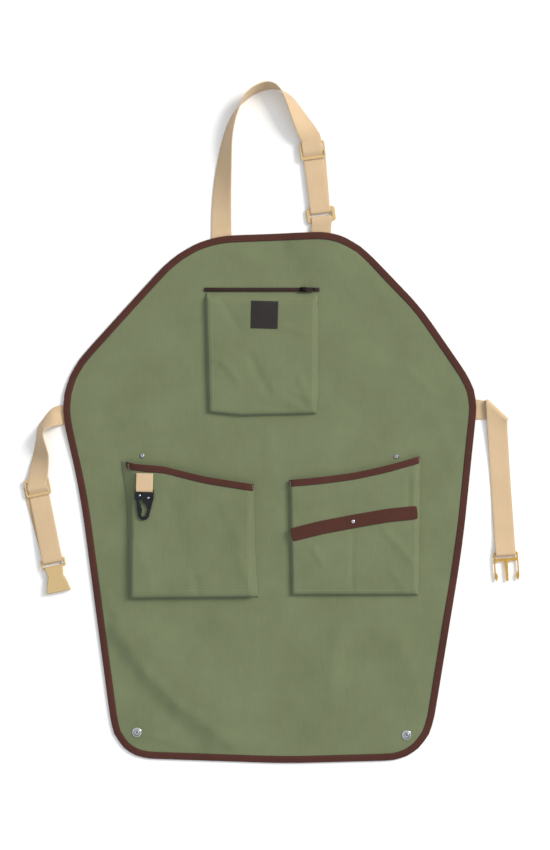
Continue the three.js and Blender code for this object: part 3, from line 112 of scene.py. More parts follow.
def add_node(tree, kind, inputs=None, **settings):
    node = tree.nodes.new(kind)
    for name, value in settings.items():
        setattr(node, name, value)
    for name, value in (inputs or {}).items():
        if isinstance(value, bpy.types.NodeSocket):
            tree.links.new(value, node.inputs[name])
        else:
            node.inputs[name].default_value = value
    return node


def start_material(name):
    material = bpy.data.materials.new(name)
    material.use_nodes = True
    material.node_tree.nodes.clear()
    return material, material.node_tree


def finish_material(tree, shader):
    add_node(tree, "ShaderNodeOutputMaterial", {"Surface": shader.outputs["BSDF"]})


# %% [markdown]
# ## Woven cloth
# Canvas, tape and webbing are all the same thing at different scales: threads that cross over and under
# each other. Two sets of bands, one each way, make the crossings. A noise that is drawn out along the
# threads makes the uneven yarn, and a broad one makes the patchy tone of cloth that has been handled. Real
# canvas has about 16 threads to a centimetre. That is finer than a pixel here, so the bands are drawn
# coarser, and weak, so that they read as a grain. TONE is how far the light and the dark colour mix either
# way from half and half.

# %% Woven cloth
WAVE_PERIOD = math.tau / 20
YARN_SHARE, CROSSING_SHARE, TONE = 0.35, 0.2, 0.35
YARN_DRAWN_OUT = (1, 0.12, 1)


def band_scale(pitch):
    """The scale at which a wave texture, which repeats after WAVE_PERIOD, has this pitch."""
    return WAVE_PERIOD / pitch


def woven_cloth(name, light, dark, thread, relief, follow_uv=False, ribs=1.0, sheen=0.15):
    material, tree = start_material(name)
    place = add_node(tree, "ShaderNodeTexCoord").outputs["UV" if follow_uv else "Object"]
    warp = add_node(tree, "ShaderNodeTexWave", {"Vector": place, "Scale": band_scale(thread)},
                    bands_direction="X")
    weft = add_node(tree, "ShaderNodeTexWave", {"Vector": place, "Scale": band_scale(thread * ribs)},
                    bands_direction="Y")
    crossing = add_node(tree, "ShaderNodeMath", {0: warp.outputs["Fac"], 1: weft.outputs["Fac"]},
                        operation="MULTIPLY")
    drawn = add_node(tree, "ShaderNodeMapping", {"Vector": place, "Scale": YARN_DRAWN_OUT})
    yarn = add_node(tree, "ShaderNodeTexNoise", {
        "Vector": drawn.outputs["Vector"], "Scale": 420.0, "Detail": 3.0})
    patches = add_node(tree, "ShaderNodeTexNoise", {
        "Vector": place, "Scale": 14.0, "Detail": 5.0, "Roughness": 0.6})
    uneven = add_node(tree, "ShaderNodeMath", {
        0: yarn.outputs["Fac"], 1: YARN_SHARE, 2: patches.outputs["Fac"]}, operation="MULTIPLY_ADD")
    grain = add_node(tree, "ShaderNodeMath", {
        0: crossing.outputs[0], 1: CROSSING_SHARE, 2: uneven.outputs[0]}, operation="MULTIPLY_ADD")
    share = add_node(tree, "ShaderNodeMapRange", {
        "Value": grain.outputs[0], "From Min": 0.3, "From Max": 1.15, "To Min": 0.5 - TONE,
        "To Max": 0.5 + TONE})
    colour = add_node(tree, "ShaderNodeMix", {
        "Factor": share.outputs["Result"], MIX_A: linear(dark), MIX_B: linear(light)}, data_type="RGBA")
    height = add_node(tree, "ShaderNodeMath", {0: crossing.outputs[0], 1: yarn.outputs["Fac"]},
                      operation="ADD")
    bump = add_node(tree, "ShaderNodeBump", {
        "Height": height.outputs[0], "Strength": 0.6, "Distance": relief})
    shader = add_node(tree, "ShaderNodeBsdfPrincipled", {
        "Base Color": colour.outputs[MIX_RESULT], "Roughness": 0.86, "IOR": 1.45,
        "Normal": bump.outputs["Normal"], "Sheen Weight": sheen, "Sheen Roughness": 0.5,
        "Specular IOR Level": 0.3})
    finish_material(tree, shader)
    return material


canvas = woven_cloth("green_cotton_canvas", "#778060", "#5e6648", thread=0.0017, relief=0.00014)
tape_cloth = woven_cloth("brown_cotton_tape", "#553027", "#3a1d15", thread=0.0016, relief=0.00016, sheen=0.1)
webbing = woven_cloth("woven_cotton_webbing", "#d5bc9a", "#bea27e", thread=0.0019, relief=0.0002,
                      follow_uv=True, ribs=0.8)
label_cloth = woven_cloth("woven_label", "#322e2c", "#211e1d", thread=0.0014, relief=0.0002)
zip_cloth = woven_cloth("zip_tape", "#3f2a27", "#2a1a18", thread=0.0016, relief=0.0002)
thread = woven_cloth("polyester_thread", "#8f9977", "#737d5c", thread=0.0006, relief=0.0001)
label_thread = woven_cloth("dark_thread", "#4a4644", "#353130", thread=0.0006, relief=0.0001)
brown_thread = woven_cloth("brown_thread", "#6b3d34", "#4c2a23", thread=0.0006, relief=0.0001)

# %% [markdown]
# ## Plastic and metal
# The sliders, the ring and the socket are moulded acetal: a smooth skin with a soft broad gloss and the
# faint ripple of the mould. The plug has a vacuum-plated gold skin. The clip is steel with a black plating,
# drawn in one even colour although the real one is rubbed to bare metal in places, and the snaps are
# nickel-plated brass.

# %% Plastic and metal
def moulded(name, colour, roughness, metallic=0.0, grain=0.12):
    material, tree = start_material(name)
    place = add_node(tree, "ShaderNodeTexCoord").outputs["Object"]
    ripple = add_node(tree, "ShaderNodeTexNoise", {"Vector": place, "Scale": 260.0, "Detail": 4.0})
    rough = add_node(tree, "ShaderNodeMapRange", {
        "Value": ripple.outputs["Fac"], "To Min": roughness - grain, "To Max": roughness + grain})
    bump = add_node(tree, "ShaderNodeBump", {"Height": ripple.outputs["Fac"], "Strength": 0.15,
                                             "Distance": 0.0003})
    shader = add_node(tree, "ShaderNodeBsdfPrincipled", {
        "Base Color": linear(colour), "Roughness": rough.outputs["Result"], "Metallic": metallic,
        "Normal": bump.outputs["Normal"]})
    finish_material(tree, shader)
    return material


acetal = moulded("moulded_acetal", "#c6ab7a", 0.38)
gilt = moulded("plated_gilt_plastic", "#e8bd66", 0.25, metallic=0.6)
black_steel = moulded("black_plated_steel", "#3a3b42", 0.3, metallic=0.85)
nickel = moulded("nickel_plate", "#cfd0d2", 0.2, metallic=1.0, grain=0.08)
zip_metal = moulded("dark_lacquered_zinc", "#2d2624", 0.2, metallic=0.8)
print("materials:", len(bpy.data.materials))

# %% [markdown]
# ## Starting a cloth piece from its solid
# Each cloth piece starts as a copy of the frame's solid, because that already lies where it should. The
# copy's loose triangles are joined where their corners lie within MERGE metres, and are then cut finer so
# that folds can be pressed into them. Softening rounds the facets, every way or only up and down. In a
# finished piece, faces that meet at more than the crease angle keep a sharp edge.

# %% Copy, refine and finish
MERGE = 2e-6


def merged(node):
    bm = bmesh.new()
    bm.from_mesh(nodes[node].data)
    bmesh.ops.remove_doubles(bm, verts=bm.verts, dist=MERGE)
    return bm


def refine(bm, cuts):
    bmesh.ops.subdivide_edges(bm, edges=bm.edges, cuts=cuts, use_grid_fill=True)
    return bm


def soften(bm, rounds=1, sideways=True):
    for _ in range(rounds):
        bmesh.ops.smooth_vert(bm, verts=bm.verts, factor=0.5, use_axis_x=sideways, use_axis_y=sideways,
                              use_axis_z=True)


def make_piece(name, bm, material, replaces=(), crease=40):
    mesh = bpy.data.meshes.new(name)
    bm.to_mesh(mesh)
    bm.free()
    mesh.materials.append(material)
    mesh.shade_smooth()
    mesh.set_sharp_from_angle(angle=math.radians(crease))
    piece = add_object(name, mesh)
    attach(piece, "apron")
    if replaces:
        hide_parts(*replaces)
    print(name, len(mesh.polygons), "faces")
    return piece


# %% [markdown]
# ## Folds and dents
# A crease in lying cloth is a long low ridge with soft flanks. Each row below gives the two ends of one
# ridge in pixels, its height and the width of its flanks in millimetres. A negative height is a dent. Past
# its ends a ridge fades out over END_FADE of its flanks. Slow waves, given by a size and a depth in metres
# and a seed, keep the cloth between the creases from lying dead flat.

# %% Folds
MM_PER_M = 1000
END_FADE = 1.5
PANEL_WAVES, POCKET_WAVES, TAPE_PUCKER = (0.09, 0.0012, 3), (0.06, 0.0011, 8), (0.006, 0.0001, 5)
DEEPEST_DENT = -0.0008
POCKET_CLEARANCE, CLIP_CLEARANCE = 0.03, 0.02


def ridge(point, row):
    x0, y0, x1, y1, height, flank = row
    start, end = at_pixel(x0, y0), at_pixel(x1, y1)
    along = (end - start).normalized()
    here = point - start
    reach = here.dot(along)
    past = reach - min(max(reach, 0), (end - start).length)
    aside = here.dot(Vector((-along.y, along.x)))
    across_share = aside * MM_PER_M / flank
    past_share = past * MM_PER_M / flank / END_FADE
    return height / MM_PER_M * math.exp(-across_share ** 2 - past_share ** 2)


def waves(point, size, depth, seed):
    return noise.noise(Vector((point.x / size, point.y / size, seed))) * depth


PANEL_CREASES = [
    (116, 628, 146, 672, 2.0, 8),
    (146, 672, 177, 703, 2.4, 8),
    (177, 703, 228, 740, 2.0, 9),
    (108, 640, 135, 683, -0.9, 7),
    (135, 683, 165, 714, -1.1, 7),
    (165, 714, 200, 742, -0.9, 7),
    (152, 736, 185, 746, 1.3, 6),
    (105, 593, 119, 618, 1.5, 6),
    (83, 454, 120, 462, 1.0, 8),
    (104, 640, 128, 688, -1.2, 9),
    (130, 420, 170, 396, 1.0, 9),
    (410, 372, 432, 392, 1.2, 7),
    (436, 420, 452, 460, 1.0, 8),
    (338, 640, 330, 700, 1.2, 9),
    (232, 252, 262, 262, 0.9, 8),
    (268, 430, 272, 470, 1.0, 9),
    (268, 600, 262, 640, -1.2, 10),
    (400, 640, 418, 690, 1.0, 9),
]
CHEST_CREASES = [
    (213, 358, 224, 363, 1.3, 3),
    (224, 363, 239, 382, 1.6, 3),
    (250, 357, 268, 392, -1.6, 5),
    (282, 327, 305, 333, 1.3, 3),
    (221, 299, 238, 327, -1.3, 4),
    (284, 398, 300, 408, 1.6, 3),
    (292, 392, 312, 398, 1.1, 3),
    (300, 380, 310, 402, 1.3, 4),
    (214, 400, 236, 396, 1.1, 3),
    (262, 404, 284, 410, -1.0, 3),
]
LEFT_CREASES = [
    (123, 467, 134, 474, -1.4, 2),
    (128, 480, 132, 540, -0.8, 2),
    (130, 589, 256, 587, 0.45, 2),
    (196, 580, 199, 597, -1.6, 5),
    (170, 500, 186, 560, -0.9, 12),
    (222, 500, 240, 540, 1.0, 9),
    (240, 560, 252, 590, 1.0, 6),
    (140, 550, 152, 586, 0.9, 7),
]
RIGHT_CREASES = [
    (409, 478, 409, 506, -1.4, 2),
    (412, 474, 412, 506, 0.8, 3),
    (385, 531, 411, 560, 1.5, 4),
    (314, 548, 322, 564, 1.4, 3),
    (352, 532, 352, 594, -1.1, 3),
    (372, 500, 398, 506, 0.8, 5),
    (300, 505, 320, 500, 0.8, 5),
    (392, 570, 404, 590, 1.0, 5),
    (300, 590, 345, 588, 0.6, 3),
]
POCKETS = {
    "chest_pocket": CHEST_CREASES, "left_pocket": LEFT_CREASES, "right_pocket": RIGHT_CREASES,
}


def outside(point, node):
    """How far a point lies outside a node's box, seen from above."""
    low, high = boxes[node]
    aside = max(low.x - point.x, point.x - high.x, 0)
    above = max(low.y - point.y, point.y - high.y, 0)
    return math.hypot(aside, above)


def panel_lift(point):
    """The panel's creases, faded out near the pockets, which are sewn down on it."""
    free = min(outside(point, pocket) for pocket in POCKETS)
    share = min(free / POCKET_CLEARANCE, 1)
    lift = sum(ridge(point, row) for row in PANEL_CREASES) + waves(point, *PANEL_WAVES)
    return share * max(lift, DEEPEST_DENT)


def pocket_lift(point, pocket):
    """A pocket's creases, faded out under the clip, which lies on the left one."""
    clip = min(outside(point, "clip_frame"), outside(point, "clip_tab"))
    share = min(clip / CLIP_CLEARANCE, 1) if pocket == "left_pocket" else 1
    return share * (sum(ridge(point, row) for row in POCKETS[pocket]) + waves(point, *POCKET_WAVES))


def press(bm, pocket):
    """Gives a piece that lies on a pocket the pocket's own creases."""
    for vert in bm.verts:
        vert.co.z += pocket_lift(vert.co.xy, pocket)


# %% [markdown]
# ## The panel
# The panel is one layer of heavy canvas. Its solid already has the large folds. Here each of its triangles
# is cut into 16, which leaves sides of about 6 mm. The facets are smoothed up and down only, so that the
# outline stays, and the small creases are added.

# %% Panel
bm = refine(merged("apron_panel"), cuts=3)
soften(bm, rounds=6, sideways=False)
for vert in bm.verts:
    vert.co.z += panel_lift(vert.co.xy)
panel = make_piece("canvas_panel", bm, canvas, replaces=["apron_panel"])
low, high = boxes["apron_panel"]

# %% [markdown]
# ## The pockets
# Each pocket is a shallow tray: a front, and a gusset down both sides and along its foot. Real canvas turns
# over a gusset's edge in a small radius, so the folds are softened. The creases fade out down the gussets,
# because their feet are sewn to the panel at the height FLOOR_OF_POCKETS.

# %% Pockets
FLOOR_OF_POCKETS = 0.0028


def cloth_pocket(node):
    bm = refine(merged(node), cuts=4)
    soften(bm)
    low, high = boxes[node]
    depth = high.z - FLOOR_OF_POCKETS
    for vert in bm.verts:
        share = min(max((vert.co.z - FLOOR_OF_POCKETS) / depth, 0), 1)
        vert.co.z += share * pocket_lift(vert.co.xy, node)
    piece = make_piece(node + "_canvas", bm, canvas, replaces=[node])


for node in POCKETS:
    cloth_pocket(node)

# %% [markdown]
# ## The tape
# The raw edges are bound with folded cotton tape. Each tape is its own solid, cut finer and softened so
# that its fold is round, with a faint pucker from the sewing.

# %% Tape
def bound_edge(node, name, pocket=None):
    bm = refine(merged(node), cuts=1)
    soften(bm)
    for vert in bm.verts:
        vert.co.z += waves(vert.co.xy, *TAPE_PUCKER)
    if pocket:
        press(bm, pocket)
    return make_piece(name, bm, tape_cloth, replaces=[node], crease=60)


edge_tape = bound_edge("edge_binding", "edge_tape")
mouth_tapes = {
    pocket: bound_edge(pocket + "_binding", pocket + "_mouth_tape", pocket)
    for pocket in ("left_pocket", "right_pocket")
}

# %% [markdown]
# ## Stitches
# A lockstitch shows as a row of short raised beads, here about 3.6 mm apart. Each bead is a small
# stretched sphere of 20 faces, turned along its row and dropped on to the cloth that carries it. The row's
# path is found on the frame: the tape's inner edge is where a face that looks up meets one that looks
# inwards.

# %% Rows of stitches
STITCH_PITCH, STITCH_LENGTH, STITCH_RADIUS = 0.0036, 0.0027, 0.0004
LOOKS_UP, LOOKS_DOWN_PAGE = 0.6, -0.5
PANEL_MIDDLE_Y = -0.11


def edge_chains(bm, keep):
    """The edges to keep, joined end to end. They are taken in the mesh's order, so each run is alike."""
    left = dict.fromkeys(edge for edge in bm.edges if len(edge.link_faces) == 2 and keep(edge))
    chains = []
    while left:
        edge = next(iter(left))
        del left[edge]
        chain = list(edge.verts)
        for grow_at in (-1, 0):
            while True:
                tip = chain[grow_at]
                follow = next((e for e in tip.link_edges if e in left), None)
                if follow is None:
                    break
                del left[follow]
                other = follow.other_vert(tip)
                if grow_at == 0:
                    chain.insert(0, other)
                else:
                    chain.append(other)
        chains.append([v.co.copy() for v in chain])
    return chains


def distances(points):
    """How far along its row each point lies."""
    return np.concatenate([[0], np.cumsum(np.linalg.norm(np.diff(points, axis=0), axis=1))])


def evenly(points, pitch):
    array = np.array([tuple(p) for p in points])
    lengths = distances(array)
    stops = np.linspace(0, lengths[-1], max(2, round(lengths[-1] / pitch) + 1))
    return [Vector([np.interp(stop, lengths, array[:, k]) for k in range(3)]) for stop in stops]


def height_on(carrier, point):
    """The height of a piece's top surface over a point of the floor, or None beside it."""
    hit, place, _, _ = carrier.ray_cast(Vector((point.x, point.y, 1)), Vector((0, 0, -1)))
    return place.z if hit else None


def add_bead(bm, place, size, turn=Matrix.Identity(4)):
    matrix = Matrix.Translation(place) @ turn @ Matrix.Diagonal((*size, 1))
    bmesh.ops.create_icosphere(bm, subdivisions=1, radius=1, matrix=matrix)


def stitch_row(bm, points, carrier, inset=0.0):
    """Beads along the points, moved aside by inset, on top of the carrier."""
    stops = evenly(points, STITCH_PITCH)
    for here, there in zip(stops, stops[1:]):
        run = (there - here).normalized()
        aside = Vector((0, 0, 1)).cross(run).normalized()
        middle = (here + there) / 2 + aside * inset
        middle.z = height_on(carrier, middle)
        turn = Matrix((run, aside, run.cross(aside))).transposed().to_4x4()
        add_bead(bm, middle, (STITCH_LENGTH / 2, STITCH_RADIUS, STITCH_RADIUS), turn)


def inner_edge(node, looks_in):
    """The inner edge of a tape's upper flange, as a chain of points."""
    bm = merged(node)
    bmesh.ops.recalc_face_normals(bm, faces=bm.faces)

    def keep(edge):
        first, second = edge.link_faces
        for up, side in ((first, second), (second, first)):
            if up.normal.z > LOOKS_UP and abs(side.normal.z) < LOOKS_UP and looks_in(edge, side.normal):
                return True
        return False

    chains = edge_chains(bm, keep)
    bm.free()
    longest = max(len(chain) for chain in chains)
    full = [chain for chain in chains if len(chain) > longest / 2]
    return max(full, key=lambda chain: sum(p.z for p in chain) / len(chain))


def towards_middle(edge, normal):
    middle = (edge.verts[0].co + edge.verts[1].co) / 2
    return normal.x * -middle.x + normal.y * (PANEL_MIDDLE_Y - middle.y) > 0


def down_page(edge, normal):
    return normal.y < LOOKS_DOWN_PAGE


def length_of(points):
    return sum((b - a).length for a, b in zip(points, points[1:]))


# %% [markdown]
# A folded tape is flat before it is sewn, so its flat width is two flanges and the turn between them. The
# stitches lie TAPE_ROW from its inner edge. The edge tape goes once round the panel. Its own middle runs half
# a flange outside the row that was found, and going once round at that distance adds a full circle's share
# to the length.

# %% Stitch the tapes
TAPE_FLANGE, TAPE_TURN, TAPE_ROW = 0.010, 0.0027, 0.0022

edge_row = inner_edge("edge_binding", towards_middle)
turns_left = sum(a.x * b.y - b.x * a.y for a, b in zip(edge_row, edge_row[1:])) > 0
if (edge_row[0] - edge_row[-1]).length > MERGE:
    edge_row.append(edge_row[0])

bpy.context.view_layer.update()
bm = bmesh.new()
stitch_row(bm, edge_row, edge_tape, inset=-TAPE_ROW if turns_left else TAPE_ROW)
for pocket, tape in mouth_tapes.items():
    row = sorted(inner_edge(pocket + "_binding", down_page), key=lambda p: p.x)
    stitch_row(bm, row, tape, inset=TAPE_ROW)
    print(pocket, "mouth tape:", round(length_of(row) * MM_PER_M), "mm")
make_piece("tape_stitches", bm, brown_thread)

# %% [markdown]
# ## Webbing
# Webbing is woven flat and then laid along its way, so it is made like that: a long flat grid, whose UV map
# is in metres, is moved on to the route that the frame's solid takes. The route is read from the solid's
# sections, ring by ring, from one end. The corners are cut three times, which turns the solid's straight
# runs and sharp turns into smooth ones that stay between the same bars. The stretch that runs up to a slider
# is eased further into one slow curve, as stiff webbing bends.

# %% Read a strap's route
EASE_PITCH, EASE_ROUNDS = 0.004, 70
CORNER_CUTS, ROUTE_PITCH = 3, 0.002


def shift(ring, order):
    return sum((w.co - v.co).length_squared for v, w in zip(ring, order))


def sections(node, rank, ends=1):
    """The four corners of each section of a strap, in order from the end that rank puts first.

    A doubled strap has both its ends there, so ends is 2, and the lower one comes first.
    """
    bm = merged(node)
    near = sorted(bm.verts, key=lambda v: rank(v.co))[:4 * ends]
    first = sorted(near, key=lambda v: v.co.z)[:4]
    corner = first[0]
    mate = min((v for v in first if v is not corner), key=lambda v: (v.co - corner.co).length)
    others = sorted((v for v in first if v not in (corner, mate)), key=lambda v: (v.co - corner.co).length)
    ring = [corner, mate, *others]
    seen = set(ring)
    rings = [[v.co.copy() for v in ring]]
    while True:
        ahead = {e.other_vert(v) for v in ring for e in v.link_edges} - seen
        if len(ahead) != 4:
            break
        linked = [{e.other_vert(v) for e in v.link_edges} for v in ring]
        orders = [order for order in itertools.permutations(ahead)
                  if all(w in near_by for w, near_by in zip(order, linked))]
        ring = list(min(orders, key=lambda order: shift(ring, order)))
        seen.update(ring)
        rings.append([v.co.copy() for v in ring])
    bm.free()
    return rings


def cut_corners(rows):
    cut = [rows[0]]
    for here, there in zip(rows, rows[1:]):
        cut += [here * 0.75 + there * 0.25, here * 0.25 + there * 0.75]
    return np.array([*cut, rows[-1]])


def respaced(rows, pitch):
    lengths = distances(rows[:, :3])
    stops = np.linspace(0, lengths[-1], round(lengths[-1] / pitch) + 1)
    return np.stack([np.interp(stops, lengths, column) for column in rows.T], axis=1), lengths[-1]


def eased(rows, width):
    """A free stretch evened out into one slow curve, with its ends held."""
    rows, _ = respaced(rows, EASE_PITCH)
    for _ in range(EASE_ROUNDS):
        rows[2:-2] = rows[2:-2] * 0.5 + (rows[1:-3] + rows[3:-1]) * 0.25
    across = np.linalg.norm(rows[:, 3:], axis=1, keepdims=True)
    rows[:, 3:] *= width / across
    return rows


def route(rings, free, width):
    """Rows of the webbing's middle and the way across it, ROUTE_PITCH apart, and its whole length."""
    middles = [sum(ring, Vector()) / 4 for ring in rings]
    ways = [(ring[2] + ring[3] - ring[0] - ring[1]) / 2 for ring in rings]
    rows = np.array([[*middle, *way] for middle, way in zip(middles, ways)])
    if free:
        start, end = free
        rows = np.concatenate([rows[:start], eased(rows[start:end + 1], width), rows[end + 1:]])
    for _ in range(CORNER_CUTS):
        rows = cut_corners(rows)
    return respaced(rows, ROUTE_PITCH)


# %% [markdown]
# The grid is eight cells wide. It starts one unit long and wide about its own middle, and each of its rows is
# then moved to a row of the route. Solidify gives it its thickness, and Bevel rounds its edges. For a strap
# with a free stretch, the two numbers are the first and the last ring of that stretch.

# %% Lay the webbing
WEB_CELLS = 8
ROUNDED_SHARE = 0.3
WEB_WIDTH, WEB_THICKNESS = 0.030, 0.0016
TAB_WIDTH, TAB_THICKNESS = 0.025, 0.0012


def lay_webbing(node, rank, width=WEB_WIDTH, thickness=WEB_THICKNESS, ends=1, free=None):
    way, length = route(sections(node, rank, ends), free, width)
    bm = bmesh.new()
    uv = bm.loops.layers.uv.new("flat")
    bmesh.ops.create_grid(bm, x_segments=WEB_CELLS, y_segments=len(way) - 1, size=0.5)
    for face in bm.faces:
        for loop in face.loops:
            loop[uv].uv = (loop.vert.co.x * width, loop.vert.co.y * length)
    for vert in bm.verts:
        row = way[round((vert.co.y + 0.5) * (len(way) - 1))]
        vert.co = Vector(row[:3]) + Vector(row[3:]) * vert.co.x
    piece = make_piece(node + "_webbing", bm, webbing, replaces=[node], crease=50)
    thick = piece.modifiers.new("thickness", "SOLIDIFY")
    thick.thickness = thickness
    thick.offset = 0
    thick.use_even_offset = True
    round_edge = piece.modifiers.new("selvedge", "BEVEL")
    round_edge.width = thickness * ROUNDED_SHARE
    round_edge.segments = 2
    print(node, "is", round(length * MM_PER_M), "mm of webbing")


lay_webbing("neck_strap", lambda co: co.y, free=(27, 35))
lay_webbing("neck_anchor", lambda co: co.y, ends=2)
lay_webbing("left_waist_strap", lambda co: -co.x, free=(16, 22))
lay_webbing("right_waist_strap", lambda co: co.x)
lay_webbing("clip_tab", lambda co: -co.y, TAB_WIDTH, TAB_THICKNESS, ends=2)

# %% [markdown]
# ## The tool band
# A strip of the same brown cloth crosses the right pocket. It lies on the pocket's front and follows its
# dents.

# %% Tool band
bm = refine(merged("tool_band"), cuts=5)
soften(bm)
press(bm, "right_pocket")
band = make_piece("tool_band_tape", bm, tape_cloth, replaces=["tool_band"], crease=60)

# %% [markdown]
# ## The label
# The label is a small woven square, sewn round its edge and left bare. Its thread is nearly black. The row
# runs just inside the four corners of the frame's own label, which is turned a little.

# %% Label
LABEL_INSET = 0.0014
bm = merged("pocket_label")
corners = []
for x, y in ((1, 1), (-1, 1), (-1, -1), (1, -1), (1, 1)):
    corner = max(bm.verts, key=lambda v: v.co.x * x + v.co.y * y)
    corners.append(corner.co - Vector((x, y, 0)) * LABEL_INSET)
refine(bm, cuts=15)
press(bm, "chest_pocket")
label = make_piece("bare_label", bm, label_cloth, replaces=["pocket_label"], crease=30)
bpy.context.view_layer.update()
bm = bmesh.new()
for side in zip(corners, corners[1:]):
    stitch_row(bm, side, label)
make_piece("label_stitches", bm, label_thread)

# %% [markdown]
# ## Snaps, studs and rivet
# These are turned shapes, so half an outline is spun round its axis: a rolled rim, a hollow and a flat or
# domed middle, as pressed metal has. Each outline's points are shares of the radius and of the height. The
# clip's two pins are turned too, and sit a little way down in its head.

# %% Turned metal
def turned(name, middle, radius, height, profile, replaces=()):
    bm = bmesh.new()
    rim = [bm.verts.new((r * radius, 0, z * height)) for r, z in profile]
    edges = [bm.edges.new(pair) for pair in zip(rim, rim[1:])]
    bmesh.ops.spin(bm, geom=rim + edges, cent=(0, 0, 0), axis=(0, 0, 1), angle=math.tau, steps=40,
                   use_merge=True)
    bmesh.ops.remove_doubles(bm, verts=bm.verts, dist=1e-6)
    bmesh.ops.translate(bm, verts=bm.verts, vec=middle)
    bmesh.ops.recalc_face_normals(bm, faces=bm.faces)
    make_piece(name, bm, nickel, replaces=replaces)


def turned_for(node, name, profile, pocket=None):
    low, high = boxes[node]
    middle = Vector(((low.x + high.x) / 2, (low.y + high.y) / 2, low.z))
    middle.z += pocket_lift(middle.xy, pocket) if pocket else panel_lift(middle.xy)
    turned(name, middle, (high.x - low.x) / 2, high.z - low.z, profile, replaces=[node])


SNAP = [
    (0, 0), (0.96, 0), (1, 0.12), (1, 0.28), (0.94, 0.38), (0.8, 0.36), (0.66, 0.26), (0.56, 0.3),
    (0.52, 0.85), (0.47, 0.98), (0.4, 1), (0.3, 0.92), (0.26, 0.2), (0, 0.2),
]
STUD = [
    (0, 0), (0.95, 0), (1, 0.15), (1, 0.4), (0.9, 0.55), (0.7, 0.5), (0.55, 0.55), (0.5, 0.95), (0.38, 1),
    (0.28, 0.85), (0.24, 0.25), (0, 0.25),
]
RIVET = [(0, 0), (0.97, 0), (1, 0.2), (0.93, 0.5), (0.7, 0.82), (0.35, 0.97), (0, 1)]
PIN_PIXELS = {"clip_pin_left": (140.5, 495), "clip_pin_right": (149, 497.5)}
PIN_RADIUS, PIN_HEIGHT, PIN_SINK = 0.0016, 0.0008, 0.0001

for side in ("left", "right"):
    turned_for(f"{side}_snap", f"{side}_hem_snap", SNAP)
    turned_for(f"{side}_stud", f"{side}_pocket_stud", STUD)
turned_for("band_rivet", "domed_rivet", RIVET, pocket="right_pocket")
for name, pixel in PIN_PIXELS.items():
    middle = at_pixel(*pixel).to_3d()
    middle.z = height_on(nodes["clip_frame"], middle) - PIN_SINK
    turned(name, middle, PIN_RADIUS, PIN_HEIGHT, RIVET)

# %% [markdown]
# ## The zip
# A coil zip is a woven tape with a row of small nylon loops down its middle. The tape is the frame's own,
# and the loops are stretched spheres set across it in pairs.

# %% Zip
LOOP_PITCH, LOOP_STAGGER, LOOP_ASIDE = 0.0016, 0.2, 0.0007
LOOP_SIZE = (0.00045, 0.0011, 0.0004)
bm = refine(merged("chest_zip"), cuts=3)
make_piece("zip_tape", bm, zip_cloth, replaces=["chest_zip"], crease=30)
low, high = boxes["chest_zip"]
bm = bmesh.new()
for k in range(int((high.x - low.x) / LOOP_PITCH)):
    for side in (-1, 1):
        across = low.x + (k + 0.5 + side * LOOP_STAGGER) * LOOP_PITCH
        place = Vector((across, (low.y + high.y) / 2 + side * LOOP_ASIDE, high.z))
        add_bead(bm, place, LOOP_SIZE)
make_piece("zip_coil", bm, zip_cloth)

# %% [markdown]
# ## Rows on the canvas
# The pockets are topstitched near their folds and hems in thread of the cloth's own colour. Each row runs
# along a line given in pixels, and each stitch is dropped on to the cloth under it. Short dense rows, the bar
# tacks, lock the ends of the two mouth tapes.

# %% Topstitching
TOPSTITCHES = [
    ("chest_pocket", [(212, 306), (214, 411)]),
    ("chest_pocket", [(313, 306), (312, 409)]),
    ("chest_pocket", [(211, 303), (314, 304)]),
    ("left_pocket", [(139, 496), (135, 540), (134, 592)]),
    ("left_pocket", [(247.5, 495), (247, 540), (249, 591)]),
    ("left_pocket", [(133, 590.5), (250, 589.5)]),
    ("right_pocket", [(294, 500), (295, 588)]),
    ("right_pocket", [(415.5, 475), (413.5, 588)]),
    ("right_pocket", [(296, 590), (412, 590)]),
    ("right_pocket", [(351, 536), (351, 589)]),
    ("right_pocket", [(353, 536), (353, 589)]),
]
BAR_TACKS = [
    ("left_pocket", [(252.5, 485), (253.5, 491)]),
    ("left_pocket", [(128.5, 463.5), (129.5, 469.5)]),
    ("right_pocket", [(290, 481), (290.5, 487)]),
    ("right_pocket", [(418.5, 457), (419, 463.5)]),
]


def on_floor(line):
    return [at_pixel(across, down).to_3d() for across, down in line]


bpy.context.view_layer.update()
bm = bmesh.new()
for pocket, line in TOPSTITCHES:
    stitch_row(bm, on_floor(line), bpy.data.objects[pocket + "_canvas"])
for pocket, line in BAR_TACKS:
    for inset in (-STITCH_RADIUS, STITCH_RADIUS):
        stitch_row(bm, on_floor(line), mouth_tapes[pocket], inset)
make_piece("canvas_stitches", bm, thread)

# %% [markdown]
# ## Finishes for the hard parts
# The frame's own solids stay for the hard parts, and only their material changes.

# %% Finish the hard parts
FINISHES = {
    "neck_slider": acetal, "neck_ring": acetal, "waist_slider": acetal, "buckle_socket": acetal,
    "buckle_plug": gilt, "clip_frame": black_steel, "clip_gate": black_steel, "zip_slider": zip_metal,
    "zip_pull": zip_metal,
}
for node, material in FINISHES.items():
    nodes[node].data.materials.clear()
    nodes[node].data.materials.append(material)

# %% [markdown]
# ## The floor
# The floor is white paper. It lies a little below the apron, so that the two never share a plane.

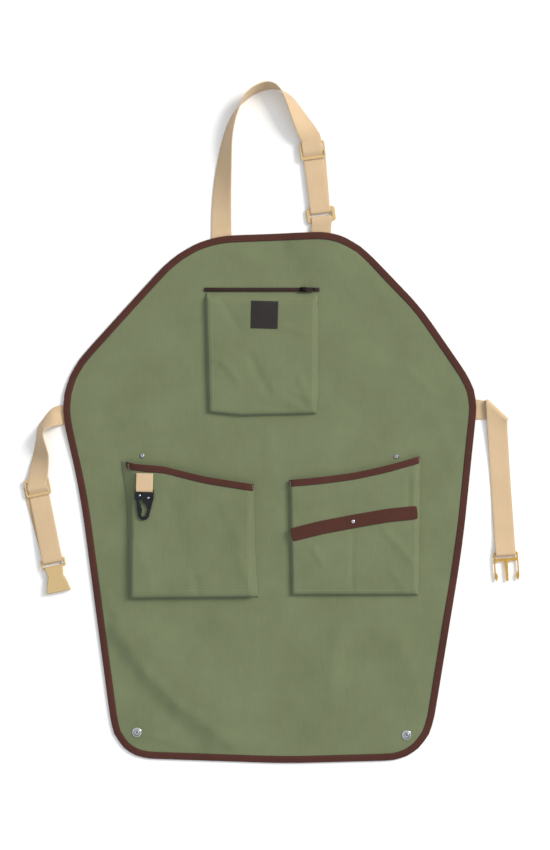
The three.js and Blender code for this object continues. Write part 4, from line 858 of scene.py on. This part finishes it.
# %% Floor
FLOOR_REACH, FLOOR_HEIGHT = 4, -0.0004
paper, tree = start_material("white_paper")
place = add_node(tree, "ShaderNodeTexCoord").outputs["Object"]
fibres = add_node(tree, "ShaderNodeTexNoise", {"Vector": place, "Scale": 30.0, "Detail": 6.0})
tint = add_node(tree, "ShaderNodeMix", {
    "Factor": fibres.outputs["Fac"], MIX_A: linear("#fbfcfb"), MIX_B: linear("#fefefd")}, data_type="RGBA")
finish_material(tree, add_node(tree, "ShaderNodeBsdfPrincipled", {
    "Base Color": tint.outputs[MIX_RESULT], "Roughness": 0.9}))

bm = bmesh.new()
bmesh.ops.create_grid(bm, x_segments=1, y_segments=1, size=FLOOR_REACH)
bmesh.ops.translate(bm, verts=bm.verts, vec=(0, 0, FLOOR_HEIGHT))
mesh = bpy.data.meshes.new("floor")
bm.to_mesh(mesh)
bm.free()
mesh.materials.append(paper)
floor = add_object("floor", mesh)

# %% [markdown]
# ## Light
# A large soft lamp up on the right throws the short soft shadows to the left, and a pale sky fills them. The
# sky is darker towards the horizon, as the far walls of a studio are, and right overhead, where the camera
# and its stand are, which gives the small metal parts something dark to mirror. Both go by the height of the
# line of sight, which is 0 at the horizon and 1 overhead.

# %% Light
light = bpy.data.lights.new("window", "AREA")
light.size = 3.4
light.energy = 770
light.color = linear("#fffaf2")[:3]
window = add_object("window", light)
window.location = (6.4, 3.6, 5.6)
window.rotation_euler = (-window.location).to_track_quat("-Z", "Y").to_euler()

world = bpy.data.worlds.new("studio")
world.use_nodes = True
tree = world.node_tree
tree.nodes.clear()
ray = add_node(tree, "ShaderNodeTexCoord").outputs["Generated"]
rise = add_node(tree, "ShaderNodeSeparateXYZ", {"Vector": ray})
glow = add_node(tree, "ShaderNodeMapRange", {
    "Value": rise.outputs["Z"], "From Min": 0.0, "From Max": 0.9, "To Min": 0.08, "To Max": 1.06})
stand = add_node(tree, "ShaderNodeMapRange", {
    "Value": rise.outputs["Z"], "From Min": 0.955, "From Max": 0.98, "To Min": 1.0, "To Max": 0.1})
strength = add_node(tree, "ShaderNodeMath", {0: glow.outputs["Result"], 1: stand.outputs["Result"]},
                    operation="MULTIPLY")
sky = add_node(tree, "ShaderNodeBackground", {"Color": linear("#f7faff"), "Strength": strength.outputs[0]})
add_node(tree, "ShaderNodeOutputWorld", {"Surface": sky.outputs["Background"]})
bpy.context.scene.world = world
bpy.context.scene.view_settings.view_transform = "Standard"
